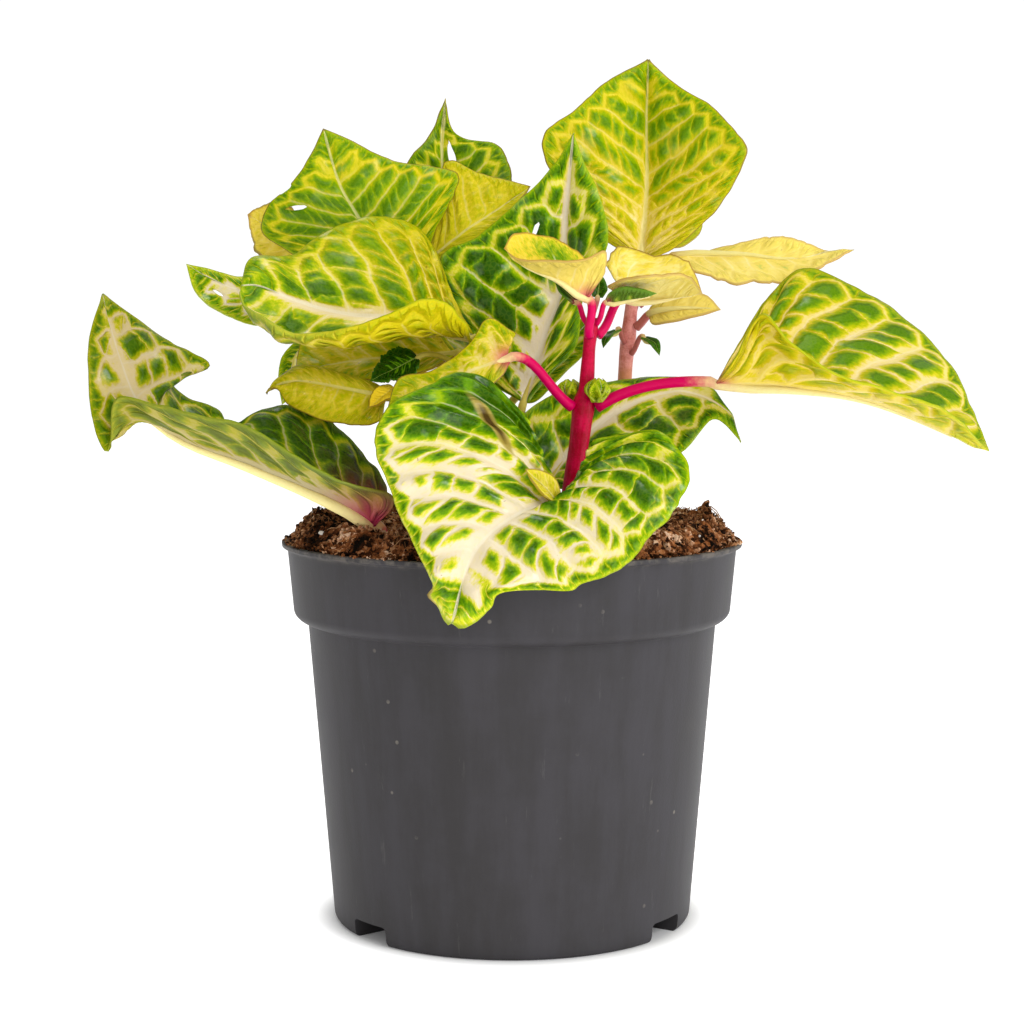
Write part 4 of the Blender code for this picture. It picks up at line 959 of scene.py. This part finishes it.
def drain_pin(angle):
    bm = bmesh.new()
    bmesh.ops.create_cone(bm, cap_ends=True, segments=40, radius1=4.0 * MM, radius2=4.0 * MM, depth=20 * MM)
    bmesh.ops.transform(bm, verts=bm.verts, matrix=Matrix.Rotation(math.radians(angle), 4, "Z")
                        @ Matrix.Translation((0, -33.0 * MM, 5 * MM)))
    mesh = bpy.data.meshes.new("pin")
    bm.to_mesh(mesh)
    bm.free()
    return mesh


def combine(mesh, others, operation):
    """The mesh after a Boolean with others, kept as plain geometry."""
    whole = bpy.data.objects.new("whole", mesh)
    helpers = [bpy.data.objects.new("helper", other) for other in others]
    for obj in (whole, *helpers):
        bpy.context.scene.collection.objects.link(obj)
    for helper in helpers:
        cut = whole.modifiers.new("cut", "BOOLEAN")
        cut.operation = operation
        cut.object = helper
        cut.solver = "MANIFOLD"
    bpy.context.view_layer.update()
    mesh = bpy.data.meshes.new_from_object(whole.evaluated_get(bpy.context.evaluated_depsgraph_get()))
    for obj in (whole, *helpers):
        bpy.data.objects.remove(obj)
    return mesh


def build_pot():
    """The pot: a smooth turned shell with four raised drain channels, each with a hole through its roof."""
    mesh = turned(rounded(POT_PROFILE), 240)
    mesh = combine(mesh, [radial_box(a, 18.4, 45.6, 16.2, 0.6, 6.6, 1.5) for a in CHANNEL_ANGLES], "UNION")
    cuts = [radial_box(a, 20, 60, 13, -3, 5, 1.2) for a in CHANNEL_ANGLES]
    mesh = combine(mesh, cuts + [drain_pin(a) for a in CHANNEL_ANGLES], "DIFFERENCE")
    mesh.polygons.foreach_set("use_smooth", [True] * len(mesh.polygons))
    mesh.set_sharp_from_angle(angle=math.radians(32))
    mesh.materials.clear()
    return mesh


def add_piece(name, mesh, *dresses):
    obj = bpy.data.objects.new(name, mesh)
    bpy.context.scene.collection.objects.link(obj)
    for dress in dresses:
        obj.data.materials.append(dress)
    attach(obj, "root")
    return obj


def heap_height(x, y):
    """Height of the potting mix at a place, in millimetres: highest at the pot's two sides, rough all over."""
    r = math.hypot(x, y)
    z = 102.2 + 1.4 * smooth_step(30, 52.5, r) + 2.0 * (x / 60) ** 2 - 5.0 * smooth_step(51.5, 58.0, r)
    spot = Vector((x, y, 0))
    z += 1.6 * noise.noise(spot * 0.12) + 1.2 * noise.noise(spot * 0.35) + 0.8 * noise.noise(spot * 0.9)
    return max(z, 98.8) if r < 58.0 else 99.2


def build_mix():
    """The potting mix: a rough heap inside the pot's wall."""
    bm = bmesh.new()
    bmesh.ops.create_circle(bm, cap_ends=False, radius=57.8 * MM, segments=220)
    rings = bm.edges[:]
    steps = [57.8 - 0.8 * i for i in range(1, 69)]
    for radius in steps:
        made = bmesh.ops.extrude_edge_only(bm, edges=rings)["geom"]
        ring = [e for e in made if isinstance(e, bmesh.types.BMVert)]
        rings = [e for e in made if isinstance(e, bmesh.types.BMEdge)]
        for v in ring:
            v.co = v.co.normalized() * radius * MM
    bmesh.ops.holes_fill(bm, edges=rings, sides=0)
    for v in bm.verts:
        x, y = v.co.x / MM, v.co.y / MM
        v.co.z = heap_height(x, y) * MM
    edge = [e for e in bm.edges if e.is_boundary]
    for radius, z in ((56.3, 96), (54.9, 84), (50.8, 78), (45.6, 9), (44.6, 7.4)):
        made = bmesh.ops.extrude_edge_only(bm, edges=edge)["geom"]
        edge = [e for e in made if isinstance(e, bmesh.types.BMEdge)]
        for v in [e for e in made if isinstance(e, bmesh.types.BMVert)]:
            v.co = Vector((v.co.x, v.co.y, 0)).normalized() * radius * MM
            v.co.z = z * MM
    bmesh.ops.holes_fill(bm, edges=edge, sides=0)
    bmesh.ops.recalc_face_normals(bm, faces=bm.faces)
    mesh = bpy.data.meshes.new("rough_mix")
    bm.to_mesh(mesh)
    bm.free()
    return mesh


def build_crumbs(count, sizes, seed, reach=55.8, faces=1, near=0.0):
    """Loose crumbs of peat or grit, half sunk in the heap, made a hundred at a time to save time."""
    rand = random.Random(seed)
    whole = bmesh.new()
    batch = bpy.data.meshes.new("crumbs")
    for first in range(0, count, 100):
        bm = bmesh.new()
        for _ in range(min(100, count - first)):
            r, a = math.sqrt(rand.uniform(near * near, reach * reach)), rand.uniform(0, math.tau)
            x, y = r * math.cos(a), r * math.sin(a)
            size = sizes[0] + (sizes[1] - sizes[0]) * rand.random() ** 2
            made = bmesh.ops.create_icosphere(bm, subdivisions=faces, radius=1.0)["verts"]
            shape = Matrix.Diagonal((size * rand.uniform(0.6, 1.4), size * rand.uniform(0.4, 1.0),
                                     size * rand.uniform(0.4, 0.9), 1))
            turn = Matrix.Rotation(rand.uniform(0, math.tau), 4, (rand.random(), rand.random(), rand.random() + 0.1))
            place = Matrix.Translation(Vector((x, y, heap_height(x, y) + size * 0.3)) * MM) @ turn @ shape
            for v in made:
                v.co = place @ (v.co * (1 + 0.7 * (rand.random() - 0.5)) * MM)
        bm.to_mesh(batch)
        bm.free()
        whole.from_mesh(batch)
    mesh = bpy.data.meshes.new("crumbs")
    whole.to_mesh(mesh)
    whole.free()
    return mesh


def build_fibres(count, seed, points=(4, 9), lifts=(0.1, 1.4), stride=1.5, thick=0.13, round_steps=1, loose=False):
    """Root and coir fibres on the heap, as thin bent tubes: lying down, or with one loose end in the air."""
    rand = random.Random(seed)
    curve = bpy.data.curves.new("fibres", "CURVE")
    curve.dimensions = "3D"
    curve.bevel_depth = thick * MM
    curve.bevel_resolution = round_steps
    curve.use_fill_caps = True
    for i in range(count):
        r, a = 55 * math.sqrt(rand.random()), rand.uniform(0, math.tau)
        x, y, heading = r * math.cos(a), r * math.sin(a), rand.uniform(0, math.tau)
        spline = curve.splines.new("POLY")
        steps = rand.randint(*points)
        spline.points.add(steps - 1)
        lift = rand.uniform(*lifts)
        for k in range(steps):
            rise = lift * math.sin(math.pi * k / (steps - 1) * (0.5 if loose else 1.0))
            if math.hypot(x, y) > 55:
                heading += math.pi * 0.6
            spline.points[k].co = (x * MM, y * MM, (heap_height(x, y) + 0.1 + rise) * MM, 1)
            spline.points[k].radius = rand.uniform(0.6, 1.3)
            heading += rand.uniform(-0.6, 0.6)
            x += stride * math.cos(heading)
            y += stride * math.sin(heading)
    obj = bpy.data.objects.new("fibres", curve)
    bpy.context.scene.collection.objects.link(obj)
    bpy.context.view_layer.update()
    mesh = bpy.data.meshes.new_from_object(obj.evaluated_get(bpy.context.evaluated_depsgraph_get()))
    bpy.data.objects.remove(obj)
    return mesh


def build_stem(name):
    spots = STEMS[name][1]
    path = Path([s[:3] for s in spots])
    places, radii = [], []
    for i in range(60):
        t = i / 59
        place = path.at(t)
        places.append(place)
        _, radius = stem_at(name, place.z / MM)
        radii.append(radius * (1 + 0.05 * noise.noise(Vector((t * 14, len(name), 0)))))
    return tube(name, places, radii, 5)


LIGHTS = (
    ("key", (0.65, -0.7, 0.75), 0.6, 4.8, (1, 1, 1)),
    ("spark", (0.3, -0.95, 0.7), 0.12, 0.7, (1, 1, 1)),
    ("fill", (-0.5, -0.8, 0.7), 0.7, 0.7, (1, 0.99, 0.97)),
    ("front", (0.1, -1.3, 0.45), 0.8, 2.2, (1, 1, 1)),
    ("side", (0.95, -0.5, 0.06), 0.5, 3.6, (0.88, 0.93, 1)),
    ("top", (0.0, 0.15, 1.1), 0.8, 3.6, (1, 1, 1)),
)


def make_stage():
    floor_mesh = bpy.data.meshes.new("floor")
    bm = bmesh.new()
    bmesh.ops.create_grid(bm, x_segments=2, y_segments=2, size=3.0)
    bm.to_mesh(floor_mesh)
    bm.free()
    floor = bpy.data.objects.new("floor", floor_mesh)
    bpy.context.scene.collection.objects.link(floor)
    material, make, shader = blank("floor_white")
    shader["Base Color"].default_value = (0.9, 0.9, 0.9, 1)
    shader["Roughness"].default_value = 0.9
    place = make.add("TexCoord").outputs["Object"]
    away = make.add("VectorMath", place, operation="LENGTH").outputs["Value"]
    # Painted shadow: the floor glows evenly white except close round the pot, where the glow falls to 0.05 within 44 mm
    # of the axis and rises back by 55 mm, a dark patch under and around the foot.
    make.feed(shader["Emission Color"], make.mix(make.between(away, 0.044, 0.055), (0.05, 0.05, 0.05, 1), (0.85, 0.85, 0.85, 1)))
    shader["Emission Strength"].default_value = 1.0
    floor.data.materials.append(material)
    world = bpy.data.worlds.new("studio")
    world.use_nodes = True
    make = Nodes(world.node_tree)
    seen = make.add("LightPath").outputs["Is Camera Ray"]
    sky = world.node_tree.nodes["Background"].inputs
    sky[0].default_value = (1, 1, 1, 1)
    make.feed(sky[1], make.maths("ADD", make.maths("MULTIPLY", seen, 0.7), 0.35))
    bpy.context.scene.world = world
    for name, spot, size, power, colour in LIGHTS:
        light = bpy.data.lights.new(name, "AREA")
        light.shape = "DISK"
        light.size = size
        light.energy = power
        light.color = colour
        obj = bpy.data.objects.new(name, light)
        obj.location = spot
        obj.rotation_euler = (Vector((0, 0, 0.12)) - Vector(spot)).to_track_quat("-Z", "Y").to_euler()
        bpy.context.scene.collection.objects.link(obj)


def make_camera():
    camera = bpy.data.objects.new("camera", bpy.data.cameras.new("camera"))
    bpy.context.scene.collection.objects.link(camera)
    camera.location = (0.0, -0.571, 0.156)
    camera.rotation_euler = (math.radians(85.03), 0, 0)
    camera.data.lens = 77.03
    camera.data.sensor_width = 36.0
    bpy.context.scene.camera = camera


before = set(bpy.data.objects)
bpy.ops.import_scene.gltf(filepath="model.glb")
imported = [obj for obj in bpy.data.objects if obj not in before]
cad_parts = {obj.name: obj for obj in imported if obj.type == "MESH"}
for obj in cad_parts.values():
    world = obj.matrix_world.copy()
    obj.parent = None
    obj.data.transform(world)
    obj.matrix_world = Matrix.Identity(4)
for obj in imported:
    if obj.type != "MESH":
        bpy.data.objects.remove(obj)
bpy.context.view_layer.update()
BLADE_THICKNESS = 0.55
bpy.context.scene.view_settings.view_transform = "Standard"

dresses = make_dresses(leaf_markings())
petioles = {"red": petiole_material("petiole_magenta", "D00058", "F0E2A0"),
            "pink": petiole_material("petiole_pink", "BC6C68", "E8DC90"),
            "green": petiole_material("petiole_green", "A89A30", "DACB68")}
for leaf in make_leaves():
    piece = build_leaf(leaf)
    piece.data.materials.append(dresses[leaf.dress])
    pink = leaf.on is None or leaf.on[0] == "stem_right"
    piece.data.materials.append(petioles["red" if is_red(leaf) else "pink" if pink else "green"])
    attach(piece, "root")
    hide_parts(leaf.name)

pot = add_piece("moulded_pot", build_pot(), pot_material())
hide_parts("pot")
peat = peat_material("peat", [(0.26, "0A0400"), (0.4, "341A0A"), (0.5, "6A3A1C"), (0.66, "A86A3E"), (0.82, "D4A278")])
coarse = peat_material("peat_crumb", [(0.26, "100600"), (0.4, "4A2810"), (0.5, "8A5430"), (0.64, "C69068"), (0.8, "ECCAAC")])
mix = add_piece("rough_mix", build_mix(), peat)
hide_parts("potting_mix")
grit = speckled("perlite", "D8D0C4", "F4F0EA", 0.8, 600.0, 0.0002)
hair = speckled("peat_hair", "3A1A0A", "A06A3C", 0.8, 300.0, 0.0001)
straw = speckled("fibre", "7A4A28", "C09468", 0.7, 300.0, 0.0001)
for name, mesh, dress in (("peat_crumbs", build_crumbs(7500, (0.25, 1.15), 3, 57.4), coarse),
                          ("peat_clods", build_crumbs(170, (1.0, 2.2), 4, 51.5, 2), coarse),
                          ("lip_crumbs", build_crumbs(700, (0.2, 0.9), 9, 59.6, near=56.8), coarse),
                          ("perlite_grains", build_crumbs(34, (0.35, 0.8), 8), grit),
                          ("root_fibres", build_fibres(260, 5), straw),
                          ("peat_hairs", build_fibres(1500, 6, (3, 5), (0.3, 1.9), 0.7, 0.09, 0, True), hair)):
    add_piece(name, mesh, dress)
red_bark = speckled("stem_crimson", "9C001E", "C80440", 0.3, 260.0, 0.0002, 0.3, gloss=0.12)
old_bark = speckled("stem_pinkish", "CC6C64", "F0A09C", 0.45, 260.0, 0.0003, 0.4, foot="CC885C")
for name in STEMS:
    stem = add_piece("fine_" + name, build_stem(name), red_bark if name == "stem_front" else old_bark)
    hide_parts(name)
for node, (x, y, z), spread in (("bud_left", (14.4, -11.6, 138.8), 3.8), ("bud_right", (21.4, -19.8, 139.2), 3.9)):
    tuft = join_blades("tuft_" + node, bud_leaves(node, x, y, z, spread))
    tuft.data.materials.append(dresses["leaf_mature"])
    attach(tuft, "root")
    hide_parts(node)
tab = join_blades("front_leaf_tab", [plain_leaf("tab", (11.2, -42.5, 112.5), (3.2, -46.0, 120.8), 3.2, (0.5, -0.8, 0.5),
                                                sag=-0.6, cup=1.3, dress="leaf_lime")])
tab.data.materials.append(dresses["leaf_lime"])
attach(tab, "root")
# The withered flake, in a skin brightened past its own yellow: painted light to make up for the shade of the leaves in
# front.
flake = join_blades("withered_flake", [plain_leaf("flake", (-29.8, -13.0, 139.6), (-36.0, -21.0, 134.5), 2.7,
                                                  (0, -0.7, 0.7), sag=-0.5, cup=0.6)])
flake.data.materials.append(dresses["withered"])
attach(flake, "root")

make_stage()
make_camera()
